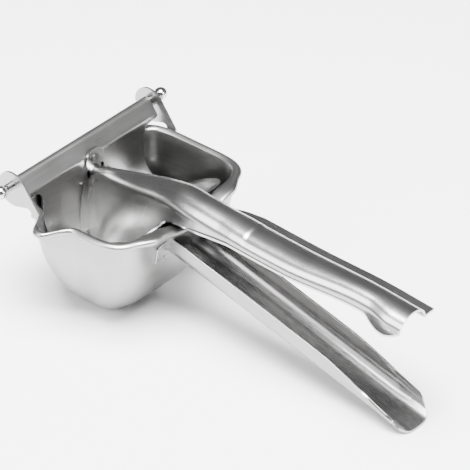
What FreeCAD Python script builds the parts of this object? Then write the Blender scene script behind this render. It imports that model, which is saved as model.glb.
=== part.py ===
"""Hand fruit press in stainless steel sheet: a lipped bowl, a hinged pressing plate and two long handles.

Frame: millimetres, +Z up, +X from the hinge towards the free ends of the handles, +Y along the hinge rod.
The origin is the centre of the flat on the underside of the bowl. The press is drawn closed.
"""
import FreeCAD
import Part

import math
import os

# ---- driving dimensions --------------------------------------------------------------------------------

BOWL_LENGTH = 70.0          # mouth, along X, inside the rim
BOWL_WIDTH = 95.6           # mouth, along Y, inside the rim
BOWL_DEPTH = 64.2           # table to the top of the rim
BOWL_WALL = 1.2
FLAT_LENGTH = 20.0          # flat on the underside
FLAT_WIDTH = 36.0
MOUTH_POWER = 5.0           # squareness of the mouth's outline
FLAT_POWER = 3.0            # squareness of the underside's outline

BEAD_WIDTH = 4.5            # rolled rim at the sides, from the inner face outwards
BEAD_HEIGHT = 3.8
BAND_WIDTH = 8.5            # the same rim pressed flat along the front
BAND_FLAT = 26.0            # the flattened part reaches this far to each side
BAND_END = 38.0             # and has rounded up again here
HANDLE_DIP = 4.0            # how far the front rim sinks to let the handle lie in it
HANDLE_DIP_REACH = 19.0

SPOUT_REACH = 13.5          # pouring lip, beyond the rim on the -Y side
SPOUT_HALF_WIDTH = 8.0
SPOUT_FROM_BACK = 27.0      # from the inner back wall to the middle of the lip
SPOUT_FADE = 1.6            # how quickly the lip dies away down the wall

ROD_DIAMETER = 4.6
ROD_RISE = 10.3             # rod axis above the rim
ROD_SETBACK = 1.0           # rod axis behind the inner back wall
ROD_GAP = 0.08              # radial clearance in the barrel and in the ears
ROD_OVERHANG = 5.0          # plain rod outside each ear
BALL_DIAMETER = 7.4
BALL_FLAT = 0.5             # seat turned on the ball where it meets the rod's shoulder
BALL_THREAD_DEPTH = 4.6

EAR_THICKNESS = 1.2
EAR_BITE = 0.3              # the welded foot is let into the rolled rim by this much
EAR_RADIUS = 9.9
EAR_DROP = 2.3              # ear's round head is this far below the rod axis
EAR_FOOT_START = 12.6       # foot of the ear, in front of the rod axis
EAR_FOOT_END = 18.5

SHEET = 1.0                 # pressing plate and its barrel
STRIP_HALF_WIDTH = 50.3
STRIP_DROP = 6.6            # lower edge of the full-width strip, below the rod axis
PLATE_HALF_WIDTH = 39.0
NOTCH_RADIUS = 7.0
PLATE_SETOUT = 7.4          # upright part of the plate, in front of the rod axis
PLATE_BEND = 4.2            # bend between the sloping strip and the upright, below the rod axis
PLATE_UPRIGHT = 21.0        # how far down it stays upright
PLATE_RIM_GAP = 3.0         # swing clearance inside the front rim
DISH_BASE_ANGLE = 62.0      # where the dish leaves its swing circle, below the horizontal
DISH_EDGE_ANGLE = 14.0      # front edge of the dish, below the horizontal

HANDLE_SHEET = 1.2
HANDLE_REACH = 220.0        # rod axis to the end of the upper handle
ROOT_WIDTH = 10.0           # rounded back of the upper handle where it leaves the plate
CROWN_WIDTH = 21.0          # and at the grip
CROWN_HEIGHT = 8.5
CROWN_OFFSET = -3.0         # the crown sits off centre, away from the wide lip
CROWN_DROP = 11.4           # crown at the plate, below the rod axis
GUSSET_SPREAD = 0.2         # slope of the side walls inside the bowl
GRIP_DROP = 7.2             # lower edge of the grip below the rod axis, just outside the bowl
GRIP_FALL = 4.6             # and how much further it falls towards the end
CROWN_RISE = 4.6            # crown above the rod axis where it passes over the rim
RIM_CLEARANCE = 2.4         # between the handle and the sunk part of the rim
FAR_LIP = 8.0               # flat lip along the +Y edge
NEAR_LIP = 2.0              # narrow lip along the -Y edge
NEAR_LOBE = 6.5             # the same lip where it flares at the end
SEAT_GAP = 0.3              # between the handle's side walls and the dish
END_CORNER = 9.0
HEM = 0.8                   # least height of the channel's walls
LEAST_WALL = 2.0            # least height of the upper handle's side walls below its arch
LEAST_LIP = 1.9             # least width of its lips, so that their folds fit
WAIST_SHARE = 0.25          # how much the -Y side narrows before the flared end

ROOT_SINK = 0.5             # the side walls start this far inside the sheet of the tongue and flanges
TONGUE_RADIUS = 6.4
TONGUE_DROP = 6.6           # rivet below the rod axis
RIVET_DIAMETER = 2.6
RIVET_HEAD = 5.0
RIVET_HOLLOW = 1.4
RIVET_GAP = 0.03            # between the rivet's shank and its hole
RIVET_TAIL = 4.0            # head behind the plate, kept below the plate's bend
ROOT_FLANGE_WIDTH = 12.0    # flanges that weld the side walls to the plate
WELD_DIAMETER = 1.8

CHANNEL_WIDTH = 26.0
CHANNEL_HEIGHT = 14.0
CHANNEL_CORNER = 8.0
CHANNEL_DROP = 21.0         # top edge of the channel at the bowl, below the rod axis
CHANNEL_REACH = 224.0       # rod axis to the end of the lower handle
CHANNEL_FLARE = 1.0         # how much wider each wall stands at the scoop
SCOOP_LENGTH = 22.0         # length of the rounded end
SCOOP_FALL = 55.0           # length over which the walls come down
SCOOP_HEIGHT = 6.5          # wall left at the very end
TIP_CLEARANCE = 0.3         # lowest point of the scoop above the table
FLANGE_WIDTH = 11.0         # welded flanges of the lower handle
FLANGE_HEIGHT = 13.6
FLANGE_TAPER = 2.2          # how much its upper and lower edges draw in towards the outside
FLANGE_TRIM = 0.5           # depth behind the bowl's face before the flange is trimmed to it

# ---- derived values --------------------------------------------------------------------------------------

ROD_RADIUS = ROD_DIAMETER / 2
MOUTH_HALF_LENGTH = BOWL_LENGTH / 2
MOUTH_HALF_WIDTH = BOWL_WIDTH / 2
ROD_X = -MOUTH_HALF_LENGTH - ROD_SETBACK
ROD_Z = BOWL_DEPTH + ROD_RISE
EAR_Y = MOUTH_HALF_WIDTH + BEAD_WIDTH - EAR_BITE
ROD_SHOULDER = EAR_Y + EAR_THICKNESS + ROD_OVERHANG
BARREL_RADIUS = ROD_RADIUS + ROD_GAP + SHEET
SWING_RADIUS = MOUTH_HALF_LENGTH - ROD_X - PLATE_RIM_GAP
WALL_TOP = BOWL_DEPTH - BEAD_HEIGHT
WALL_LEVELS = (0.0, 0.012, 0.04, 0.1, 0.2, 0.34, 0.5, 0.68, 0.84)
RING_POINTS = 72
RING_DETAIL = 20
WALL_STEPS = 4
SIDE_STEPS = 2
ARCH_STEPS = 16
CORNER_STEPS = 5
OUT = "parts"


def vec(x, y, z):
    return FreeCAD.Vector(x, y, z)


def ease(value, start, end):
    """0 before start, 1 after end and a smooth step between them."""
    t = min(1.0, max(0.0, (value - start) / (end - start)))
    return t * t * (3 - 2 * t)


def closed_curve(points):
    curve = Part.BSplineCurve()
    curve.interpolate(points, True)
    return Part.Wire([curve.toShape()])


def outline_face(points, direction):
    """Extrudes the polygon through the points along a vector."""
    wire = Part.makePolygon(points + [points[0]])
    return Part.Face(wire).extrude(direction)


def round_edges(solid, radius, chosen):
    """Rounds the straight edges that the test picks out."""
    edges = [edge for edge in solid.Edges if chosen(edge)]
    return solid.makeFillet(radius, edges)


def save(name, shape):
    shape.exportStep(os.path.join(OUT, name + ".step"))
    box = shape.BoundBox
    print(f"{name:22s} solids {len(shape.Solids)} valid {shape.isValid()} volume {shape.Volume:9.1f}"
          f"  x {box.XMin:7.2f} {box.XMax:7.2f}  y {box.YMin:7.2f} {box.YMax:7.2f}"
          f"  z {box.ZMin:7.2f} {box.ZMax:7.2f}")


# ---- bowl -------------------------------------------------------------------------------------------------

def bulge(share, power, root):
    """Profile of a drawn wall: 0 at the flat, 1 at the rim."""
    return (1 - (1 - share) ** power) ** root


def ring_shape(level):
    """Front, back, half width and squareness of the outer face at a share of its depth."""
    front = FLAT_LENGTH / 2
    front += (MOUTH_HALF_LENGTH + BOWL_WALL - front) * bulge(level, 2.0, 0.8)
    back = FLAT_LENGTH / 2
    back += (MOUTH_HALF_LENGTH + BOWL_WALL - back) * bulge(level, 2.2, 0.36)
    half_width = FLAT_WIDTH / 2
    half_width += (MOUTH_HALF_WIDTH + BOWL_WALL - half_width) * bulge(level, 2.2, 0.42)
    power = FLAT_POWER + (MOUTH_POWER - FLAT_POWER) * bulge(level, 1.5, 0.6)
    return front, back, half_width, power


def front_wall(y, z):
    """Where the outer face of the bowl's front lies, for a place across and a height."""
    front, back, half_width, power = ring_shape(z / WALL_TOP)
    half_length = (front + back) / 2
    return (front - back) / 2 + half_length * (1 - abs(y / half_width) ** power) ** (1 / power)


def ring(level, outward):
    """One closed outline of the bowl's outer face at a share of its depth, moved outwards."""
    front, back, half_width, power = ring_shape(level)
    middle = (front - back) / 2
    half_length = (front + back) / 2 + outward
    half_width += outward
    points = []
    for index in range(RING_POINTS * RING_DETAIL):
        angle = 2 * math.pi * index / (RING_POINTS * RING_DETAIL)
        cosine = math.cos(angle)
        sine = math.sin(angle)
        x = middle + half_length * math.copysign(abs(cosine) ** (2 / power), cosine)
        y = half_width * math.copysign(abs(sine) ** (2 / power), sine)
        if y < 0:
            y -= spout(x) * level ** SPOUT_FADE
        points.append((x, y))
    return even_spacing(points)


def even_spacing(points):
    """The same closed outline with its points an equal distance apart."""
    closed = points + [points[0]]
    lengths = [0.0]
    for start, end in zip(closed, closed[1:]):
        lengths.append(lengths[-1] + math.dist(start, end))
    spaced = []
    segment = 0
    for index in range(RING_POINTS):
        target = lengths[-1] * index / RING_POINTS
        while lengths[segment + 1] < target:
            segment += 1
        share = (target - lengths[segment]) / (lengths[segment + 1] - lengths[segment])
        start = closed[segment]
        end = closed[segment + 1]
        spaced.append((start[0] + share * (end[0] - start[0]), start[1] + share * (end[1] - start[1])))
    return spaced


def spout(x):
    """How far the pouring lip stands out at a place along the -Y side."""
    offset = abs(x + MOUTH_HALF_LENGTH - SPOUT_FROM_BACK)
    return SPOUT_REACH * math.exp(-(offset / SPOUT_HALF_WIDTH) ** 3)


def front_share(x, y):
    """0 along the sides and back of the rim, 1 along the flattened part of its front."""
    return ease(x, MOUTH_HALF_LENGTH * 0.7, MOUTH_HALF_LENGTH * 0.97) * (1 - ease(abs(y), BAND_FLAT, BAND_END))


def rim_drop(x, y):
    """How far the rim lies below its own level: only the front dips, under the handle."""
    return HANDLE_DIP * front_share(x, y) * math.exp(-(y / HANDLE_DIP_REACH) ** 4)


def ring_wire(level, outward, height):
    """A ring of the bowl as a closed curve; near the rim it follows the dip in the front."""
    follow = ease(height, BOWL_DEPTH * 0.6, BOWL_DEPTH)
    points = [vec(x, y, height - follow * rim_drop(x, y)) for x, y in ring(level, outward)]
    return closed_curve(points)


def bead_wire(outward, height):
    """A ring of the rolled rim: outwards is measured from the inner face, wider at the front."""
    points = []
    inner = ring(1.0, -BOWL_WALL)
    outer = ring(1.0, BEAD_WIDTH - BOWL_WALL)
    wide = ring(1.0, BAND_WIDTH - BOWL_WALL)
    share = outward / BEAD_WIDTH
    for (inner_x, inner_y), (side_x, side_y), (band_x, band_y) in zip(inner, outer, wide):
        at_front = front_share(inner_x, inner_y)
        outer_x = side_x + at_front * (band_x - side_x)
        x = inner_x + share * (outer_x - inner_x)
        y = inner_y + share * (side_y - inner_y)
        points.append(vec(x, y, BOWL_DEPTH + height - rim_drop(inner_x, inner_y)))
    return closed_curve(points)


def outer_rings():
    """Rings of the outer face from the flat up to the underside of the bead."""
    wires = [ring_wire(level, 0.0, level * WALL_TOP) for level in WALL_LEVELS]
    wires.append(bead_wire(BOWL_WALL, -BEAD_HEIGHT))
    return wires


def bowl_block():
    """Everything inside the bowl's outer face, as a plain solid, to trim what is welded to it."""
    return Part.makeLoft(outer_rings(), True, False)


def bowl():
    """Drawn sheet with its edge rolled over: outer face, bead and inner face close on each other."""
    outer = outer_rings()
    middle = (BOWL_WALL + BEAD_WIDTH) / 2
    bead = [outer[-1],
            bead_wire(middle, -BEAD_HEIGHT),
            bead_wire(BEAD_WIDTH * 0.94, -BEAD_HEIGHT * 0.8),
            bead_wire(BEAD_WIDTH, -BEAD_HEIGHT * 0.5),
            bead_wire(BEAD_WIDTH * 0.86, -BEAD_HEIGHT * 0.15),
            bead_wire(BEAD_WIDTH * 0.5, 0.0),
            bead_wire(BEAD_WIDTH * 0.14, -BEAD_HEIGHT * 0.15),
            bead_wire(0.0, -BEAD_HEIGHT * 0.5)]
    inner = [bead[-1]]
    for level in reversed(WALL_LEVELS[:-1]):
        height = BOWL_WALL + level * (WALL_TOP - BOWL_WALL)
        inner.append(ring_wire(level, -BOWL_WALL * (0.4 + 0.6 * ease(level, 0.0, 0.15)), height))
    faces = []
    for wires in (outer, bead, inner):
        faces += Part.makeLoft(wires, False, False).Faces
    faces.append(Part.Face(outer[0]))
    faces.append(Part.Face(inner[-1]))
    return closed_solid(faces)


# ---- sheet parts -------------------------------------------------------------------------------------------

def sheet(outer, inner):
    """A solid between two matching grids of points, for pressed and bent sheet."""
    top = Part.BSplineSurface()
    top.interpolate(outer)
    bottom = Part.BSplineSurface()
    bottom.interpolate(inner)
    faces = [top.toShape(), bottom.toShape()]
    borders = []
    for surface in (top, bottom):
        first_u, last_u, first_v, last_v = surface.bounds()
        borders.append((surface.uIso(first_u), surface.uIso(last_u),
                        surface.vIso(first_v), surface.vIso(last_v)))
    for upper, lower in zip(*borders):
        faces.append(Part.makeRuledSurface(upper.toShape(), lower.toShape()))
    return closed_solid(faces)


def folded_face(grid, thickness):
    """Other face of a sheet whose first and last columns are the edges of flat lips with a sharp fold."""
    raised = thicken([row[1:-1] for row in grid], thickness)
    for i, row in enumerate(grid):
        before, after = grid[max(i - 1, 0)], grid[min(i + 1, len(grid) - 1)]
        edges = []
        for fold, order in ((1, 1), (-2, -1)):
            place = 0 if order > 0 else -1
            along = after[fold] - before[fold]
            lip_normal = along.cross((row[fold] - row[place]) * order).normalize()
            wall_normal = (raised[i][place] - row[fold]) * (1 / thickness)
            start = row[fold] + (lip_normal + wall_normal) * (thickness / (1 + lip_normal.dot(wall_normal)))
            top = raised[i][place + order * SIDE_STEPS]
            for step in range(SIDE_STEPS):
                raised[i][place + order * step] = start + (top - start) * (step / SIDE_STEPS)
            edges.append(row[place] + lip_normal * thickness)
        raised[i] = [edges[0]] + raised[i] + [edges[1]]
    return raised


def strip_sheet(outer, inner):
    """A solid between two matching grids, built of narrow strips that run along it, for sheet with sharp folds."""
    sides = []
    for grid in (outer, inner):
        sides.append([smooth_edge([row[j] for row in grid]) for j in range(len(grid[0]))])
    faces = []
    for columns in sides:
        faces += [Part.makeRuledSurface(left, right, 1) for left, right in zip(columns, columns[1:])]
    for j in (0, -1):
        faces.append(Part.makeRuledSurface(sides[0][j], sides[1][j], 1))
    for i in (0, -1):
        for j in range(len(outer[0]) - 1):
            faces.append(Part.makeRuledSurface(Part.makeLine(outer[i][j], outer[i][j + 1]),
                                               Part.makeLine(inner[i][j], inner[i][j + 1]), 1))
    return closed_solid(faces)


def smooth_edge(points):
    """One smooth edge through points."""
    curve = Part.BSplineCurve()
    curve.interpolate(points)
    return curve.toShape()


def closed_solid(faces):
    """Sews faces that close on each other into a solid with its material inside."""
    shell = Part.makeShell(faces)
    shell.sewShape()
    shell = shell.Shells[0]
    solid = Part.Solid(shell)
    if solid.Volume < 0:
        shell.reverse()
        solid = Part.Solid(shell)
    return solid


def thicken(grid, thickness):
    """Points moved off a grid by a thickness, square to it."""
    moved = []
    for i, row in enumerate(grid):
        moved_row = []
        for j, point in enumerate(row):
            along = grid[min(i + 1, len(grid) - 1)][j] - grid[max(i - 1, 0)][j]
            across = row[min(j + 1, len(row) - 1)] - row[max(j - 1, 0)]
            normal = along.cross(across).normalize()
            moved_row.append(point + normal * thickness)
        moved.append(moved_row)
    return moved


def swing_point(radius, angle):
    """A point of the XZ plane on a circle about the rod, an angle in degrees below the horizontal."""
    angle = math.radians(angle)
    return vec(ROD_X + radius * math.cos(angle), 0, ROD_Z - radius * math.sin(angle))


# ---- hinge -------------------------------------------------------------------------------------------------

def ear(side, basin):
    """The plate that carries one end of the rod; its foot is welded to the outside of the rim."""
    centre = vec(ROD_X, 0, ROD_Z - EAR_DROP)
    foot_top = vec(ROD_X + EAR_FOOT_END, 0, BOWL_DEPTH - 0.6)
    foot_low = foot_top - vec(0, 0, BEAD_HEIGHT - 0.6)
    heel = vec(ROD_X + EAR_FOOT_START, 0, foot_low.z)
    throat = vec(ROD_X + EAR_FOOT_START, 0, BOWL_DEPTH + 1.2)
    upper = tangent_point(centre, foot_top, EAR_RADIUS, 1)
    lower = tangent_point(centre, throat, EAR_RADIUS, -1)
    back = centre - vec(EAR_RADIUS, 0, 0)
    edges = [Part.LineSegment(heel, throat).toShape(),
             Part.LineSegment(throat, lower).toShape(),
             Part.Arc(lower, back, upper).toShape(),
             Part.LineSegment(upper, foot_top).toShape(),
             Part.LineSegment(foot_top, foot_low).toShape(),
             Part.LineSegment(foot_low, heel).toShape()]
    plate = Part.Face(Part.Wire(edges)).extrude(vec(0, EAR_THICKNESS, 0))
    plate = round_edges(plate, EAR_FOOT_START / 6, lambda edge: at_place(edge, throat.x, throat.z))
    hole = Part.makeCylinder(ROD_RADIUS + ROD_GAP, EAR_THICKNESS, vec(ROD_X, 0, ROD_Z), vec(0, 1, 0))
    plate = plate.cut(hole)
    plate.translate(vec(0, EAR_Y if side > 0 else -EAR_Y - EAR_THICKNESS, 0))
    pieces = plate.cut(basin).Solids
    return max(pieces, key=lambda piece: piece.Volume)


def at_place(edge, x, z):
    """True for an edge along Y at a place in the XZ plane."""
    ends = [vertex.Point for vertex in edge.Vertexes]
    return len(ends) == 2 and all(math.hypot(end.x - x, end.z - z) < 0.01 for end in ends)


def tangent_point(centre, outside, radius, turn):
    """Where a line from a point outside touches a circle of the XZ plane."""
    dx = outside.x - centre.x
    dz = outside.z - centre.z
    reach = math.hypot(dx, dz)
    angle = math.atan2(dz, dx) + turn * math.acos(radius / reach)
    return centre + vec(radius * math.cos(angle), 0, radius * math.sin(angle))


def hinge_rod():
    """Rod with one ball turned on its end; the other end is threaded into the ball nut."""
    length = 2 * ROD_SHOULDER + BALL_THREAD_DEPTH
    rod = Part.makeCylinder(ROD_RADIUS, length, vec(ROD_X, -ROD_SHOULDER, ROD_Z), vec(0, 1, 0))
    return rod.fuse(ball(-1)).removeSplitter()


def ball(side):
    """The ball at one end of the rod, cut flat where it meets the rod."""
    radius = BALL_DIAMETER / 2
    centre = vec(ROD_X, side * (ROD_SHOULDER + radius - BALL_FLAT), ROD_Z)
    sphere = Part.makeSphere(radius, centre)
    size = BALL_DIAMETER
    trim = Part.makeBox(size, size, size, vec(ROD_X - size / 2, 0, ROD_Z - size / 2))
    trim.translate(vec(0, ROD_SHOULDER if side > 0 else -ROD_SHOULDER - size, 0))
    return sphere.common(trim)


def ball_nut():
    bore = Part.makeCylinder(ROD_RADIUS, BALL_THREAD_DEPTH, vec(ROD_X, ROD_SHOULDER, ROD_Z), vec(0, 1, 0))
    return ball(1).cut(bore)


# ---- pressing plate ----------------------------------------------------------------------------------------

def plate_path(radius, setout):
    """Side view of one face of the plate: off the barrel along a tangent, then straight down."""
    lean = math.atan2(-PLATE_BEND, PLATE_SETOUT) + math.acos(BARREL_RADIUS / math.hypot(PLATE_BEND, PLATE_SETOUT))
    turn = (radius - setout * math.cos(lean)) / math.sin(lean)
    return [vec(ROD_X + radius * math.cos(lean), -STRIP_HALF_WIDTH, ROD_Z + radius * math.sin(lean)),
            vec(ROD_X + setout, -STRIP_HALF_WIDTH, ROD_Z + turn),
            vec(ROD_X + setout, -STRIP_HALF_WIDTH, ROD_Z - PLATE_UPRIGHT - SHEET / 3)]


def dish_path():
    """Stations of the dish: for each, the middle and the side of the plate in the XZ plane."""
    stations = []
    start = vec(ROD_X + PLATE_SETOUT, 0, ROD_Z - PLATE_UPRIGHT)
    radius = SWING_RADIUS - SHEET
    side_low = vec(ROD_X + 19.0, 0, ROD_Z - 38.0)
    side_mid = vec(ROD_X + 42.0, 0, ROD_Z - 26.5)
    edge = swing_point(radius, DISH_EDGE_ANGLE)
    middle = Part.BSplineCurve()
    swing = [swing_point(radius, angle) for angle in (DISH_BASE_ANGLE, 50.0, 38.0, 26.0, DISH_EDGE_ANGLE)]
    middle.interpolate([start, start + vec(1.6, 0, -14.0), start + vec(8.5, 0, -29.0)] + swing,
                       InitialTangent=vec(0, 0, -1), FinalTangent=vec(0.2, 0, 1))
    side = Part.BSplineCurve()
    side.interpolate([start, start + vec(2.6, 0, -9.5), side_low, side_mid, edge],
                     InitialTangent=vec(0, 0, -1), FinalTangent=vec(1, 0, 0.1))
    count = 15
    for index in range(count):
        share = index / (count - 1)
        stations.append((at_share(middle, share), at_share(side, share)))
    return stations


def at_share(curve, share):
    """Point at a share of a curve's length."""
    return curve.value(curve.parameterAtDistance(curve.length() * share, curve.FirstParameter))


def dish_grid():
    """Points on the face of the dish that looks towards the handles."""
    columns = 17
    grid = []
    for middle, side in dish_path():
        row = []
        for index in range(columns):
            across = 2 * index / (columns - 1) - 1
            raised = ease(abs(across), 0.45, 1.0)
            x = middle.x + raised * (side.x - middle.x)
            z = middle.z + raised * (side.z - middle.z)
            row.append(vec(x, across * PLATE_HALF_WIDTH, z))
        grid.append(row)
    return grid


def press_plate():
    """Pressing plate: its top edge is rolled into a barrel round the rod, its foot is dished."""
    length = 2 * STRIP_HALF_WIDTH
    axis = vec(0, 1, 0)
    start = vec(ROD_X, -STRIP_HALF_WIDTH, ROD_Z)
    barrel = Part.makeCylinder(BARREL_RADIUS, length, start, axis)
    front = plate_path(BARREL_RADIUS, PLATE_SETOUT)
    back = plate_path(BARREL_RADIUS - SHEET, PLATE_SETOUT - SHEET)
    upright = outline_face(front + list(reversed(back)), vec(0, length, 0))
    upright = upright.common(plate_outline())
    plate = barrel.fuse(upright)
    plate = plate.fuse(sheet(dish_grid(), thicken(dish_grid(), -SHEET)))
    bore = Part.makeCylinder(ROD_RADIUS + ROD_GAP, length, start, axis)
    return plate.cut(bore).removeSplitter()


def plate_outline():
    """Front view of the upright plate: the full-width strip, then a rounded notch at each side."""
    top = ROD_Z + BARREL_RADIUS
    strip = ROD_Z - STRIP_DROP
    low = ROD_Z - PLATE_UPRIGHT - SHEET
    half = [vec(0, STRIP_HALF_WIDTH, top), vec(0, STRIP_HALF_WIDTH, strip + 2.0),
            vec(0, STRIP_HALF_WIDTH - 2.0, strip), vec(0, PLATE_HALF_WIDTH, strip),
            vec(0, PLATE_HALF_WIDTH, low)]
    mirrored = [vec(0, -point.y, point.z) for point in reversed(half)]
    block = outline_face(half + mirrored, vec(40.0, 0, 0))
    block.translate(vec(ROD_X - 20.0, 0, 0))
    radius = min(NOTCH_RADIUS, STRIP_HALF_WIDTH - PLATE_HALF_WIDTH - 2.5)

    def in_notch(edge):
        ends = [vertex.Point for vertex in edge.Vertexes]
        return all(abs(abs(end.y) - PLATE_HALF_WIDTH) < 0.01 and abs(end.z - strip) < 0.01 for end in ends)
    return round_edges(block, radius, in_notch)


# ---- upper handle ------------------------------------------------------------------------------------------

def guide(stations):
    """A smooth curve through (place, value) stations, as a function of place."""
    places = [station[0] for station in stations]
    values = [station[1] for station in stations]
    slopes = []
    for index in range(len(stations)):
        low = max(index - 1, 0)
        high = min(index + 1, len(stations) - 1)
        slopes.append((values[high] - values[low]) / (places[high] - places[low]))

    def at(place):
        place = min(max(place, places[0]), places[-1])
        index = 0
        while index < len(places) - 2 and place > places[index + 1]:
            index += 1
        span = places[index + 1] - places[index]
        t = (place - places[index]) / span
        rise = values[index + 1] - values[index]
        curve = values[index] + t * t * (3 - 2 * t) * rise
        curve += span * t * (1 - t) * ((1 - t) * slopes[index] - t * slopes[index + 1])
        return curve
    return at


def dish_floor():
    """Height of the dish's inner face along its middle, as (x, z) pairs from the plate to the front edge."""
    pairs = []
    for middle, side in dish_path():
        if not pairs or middle.x > pairs[-1][0] + 0.01:
            pairs.append((middle.x, middle.z))
    return pairs


def floor_height(x):
    """Dish floor under the handle at a place, taken square to the sheet with the seat gap."""
    pairs = dish_floor()
    for (x0, z0), (x1, z1) in zip(pairs, pairs[1:]):
        if x0 <= x <= x1:
            slope = (z1 - z0) / (x1 - x0)
            return z0 + (x - x0) * slope + SEAT_GAP * math.hypot(1, slope)
    return pairs[-1][1]


def handle_section(x):
    """Points across the upper handle's underside at a place, from the -Y lip over the crown to the +Y lip."""
    root = ROD_X + PLATE_SETOUT + HANDLE_SHEET
    over_rim = MOUTH_HALF_LENGTH + BAND_WIDTH
    end = ROD_X + HANDLE_REACH
    inside = MOUTH_HALF_LENGTH * 0.3
    front_edge = swing_point(SWING_RADIUS - SHEET, DISH_EDGE_ANGLE).x - 0.6
    rim = BOWL_DEPTH - HANDLE_DIP + RIM_CLEARANCE
    grip = guide([(over_rim + 32, ROD_Z - GRIP_DROP), (end - 70, ROD_Z - GRIP_DROP - 0.4 * GRIP_FALL),
                  (end - 30, ROD_Z - GRIP_DROP - 0.5 * GRIP_FALL), (end, ROD_Z - GRIP_DROP - GRIP_FALL)])(x)
    arrival = over_rim + 40
    if x < arrival:
        crown = guide([(root, ROD_Z - CROWN_DROP), (inside, ROD_Z - 1.5), (MOUTH_HALF_LENGTH, ROD_Z + CROWN_RISE),
                       (over_rim + 4, ROD_Z + CROWN_RISE), (arrival, ROD_Z - GRIP_DROP + CROWN_HEIGHT)])(x)
    else:
        crown = grip + CROWN_HEIGHT
    crown -= HANDLE_SHEET
    narrow_radius = ROOT_WIDTH / 2 - HANDLE_SHEET
    wide_radius = CROWN_WIDTH / 2 - HANDLE_SHEET
    radius = guide([(root, narrow_radius), (over_rim, wide_radius), (end, wide_radius)])(x)
    if x < front_edge:
        base = floor_height(x)
    elif x < over_rim + 32:
        base = guide([(front_edge, floor_height(front_edge)), (front_edge + 2.2, rim - 3.0),
                      (over_rim - 3, rim + 1.0), (over_rim + 32, ROD_Z - GRIP_DROP)])(x)
    else:
        base = grip
    arch = guide([(root, narrow_radius), (over_rim, CROWN_HEIGHT), (end, CROWN_HEIGHT)])(x)
    arch = min(arch, crown - base - LEAST_WALL)
    wall = crown - arch - base
    shift = CROWN_OFFSET * ease(x, inside, over_rim + 10)
    waist = 1 - WAIST_SHARE * ease(x, end - 75, end - 28) * (1 - ease(x, end - 24, end - 8))
    near_lip = LEAST_LIP + (NEAR_LIP - LEAST_LIP) * ease(x, over_rim - 4, over_rim + 14)
    near_lip += (NEAR_LOBE - NEAR_LIP) * ease(x, end - 26, end - 8)
    far_lip = LEAST_LIP + (FAR_LIP - LEAST_LIP) * ease(x, over_rim - 6, over_rim + 24)
    spread = radius + GUSSET_SPREAD * wall
    points = [vec(x, shift - waist * spread - near_lip, base)]
    for step in range(SIDE_STEPS):
        up = step / SIDE_STEPS
        points.append(vec(x, shift - waist * (radius + GUSSET_SPREAD * wall * (1 - up)), base + wall * up))
    for step in range(ARCH_STEPS + 1):
        angle = math.pi * (1 - step / ARCH_STEPS)
        narrow = waist if angle > math.pi / 2 else 1.0
        y = shift + narrow * radius * math.cos(angle)
        points.append(vec(x, y, crown - arch + arch * math.sin(angle)))
    for step in range(SIDE_STEPS - 1, -1, -1):
        up = step / SIDE_STEPS
        points.append(vec(x, shift + radius + GUSSET_SPREAD * wall * (1 - up), base + wall * up))
    points.append(vec(x, shift + spread + far_lip, base))
    return points


def tailed(section, x, tail, end, reach):
    """Section of a handle whose points are drawn back so that its end follows an outline."""
    share = max(0.0, (x - tail) / (end - tail))
    points = []
    for index, point in enumerate(section(x)):
        place = min(x, tail) + (reach(point.y) - tail) * share
        points.append(section(place)[index])
    return points


def upper_reach(y):
    """Where the upper handle ends: square across, with a rounded corner on the -Y side."""
    low = CROWN_OFFSET + HANDLE_SHEET - CROWN_WIDTH / 2 - NEAR_LOBE - HEM
    inside = min(1.0, max(0.0, (low + END_CORNER - y) / END_CORNER))
    return ROD_X + HANDLE_REACH - END_CORNER * (1 - math.sqrt(1 - inside * inside))


def upper_handle():
    """One pressing: tongue and flanges on the plate, deep side walls in the bowl, then the grip."""
    root = ROD_X + PLATE_SETOUT + ROOT_SINK
    front = swing_point(SWING_RADIUS - SHEET, DISH_EDGE_ANGLE).x
    end = ROD_X + HANDLE_REACH
    stations = [root + (front - 4 - root) * (step / 12) ** 1.5 for step in range(13)]
    stations += [front - 2, front - 0.6, front + 0.6, front + 1.6, front + 3, front + 6]
    start = front + 11
    stations += [start + (end - start) * step / 20 for step in range(21)]
    grid = [tailed(handle_section, x, end - 3 * END_CORNER, end, upper_reach) for x in stations]
    shell = strip_sheet(grid, folded_face(grid, HANDLE_SHEET))
    first, *others = root_patches()
    return shell.fuse(first.fuse(others))


def root_patches():
    """Tongue and flanges that lie on the upright face of the plate."""
    face = ROD_X + PLATE_SETOUT
    centre = vec(face, 0, ROD_Z - TONGUE_DROP)
    tongue = Part.makeCylinder(TONGUE_RADIUS, HANDLE_SHEET, centre, vec(1, 0, 0))
    low = ROD_Z - CROWN_DROP - ROOT_WIDTH / 2
    stem = Part.makeBox(HANDLE_SHEET, 2 * TONGUE_RADIUS, centre.z - low, vec(face, -TONGUE_RADIUS, low))
    tongue = tongue.fuse(stem)
    tongue = tongue.cut(rivet_hole())
    patches = [tongue]
    bottom = ROD_Z - PLATE_UPRIGHT
    top = ROD_Z - CROWN_DROP
    for side in (-1, 1):
        outline = [vec(face, side * 2.0, top), vec(face, side * (ROOT_WIDTH / 2 + 1), top),
                   vec(face, side * (ROOT_WIDTH / 2 + ROOT_FLANGE_WIDTH), bottom),
                   vec(face, side * 2.0, bottom)]
        flange = outline_face(outline, vec(HANDLE_SHEET, 0, 0))
        patches.append(flange.cut(weld_plug(side)))
    return patches


def rivet_hole():
    face = ROD_X + PLATE_SETOUT
    centre = vec(face - 5, 0, ROD_Z - TONGUE_DROP)
    return Part.makeCylinder(RIVET_DIAMETER / 2, 10, centre, vec(1, 0, 0))


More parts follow.
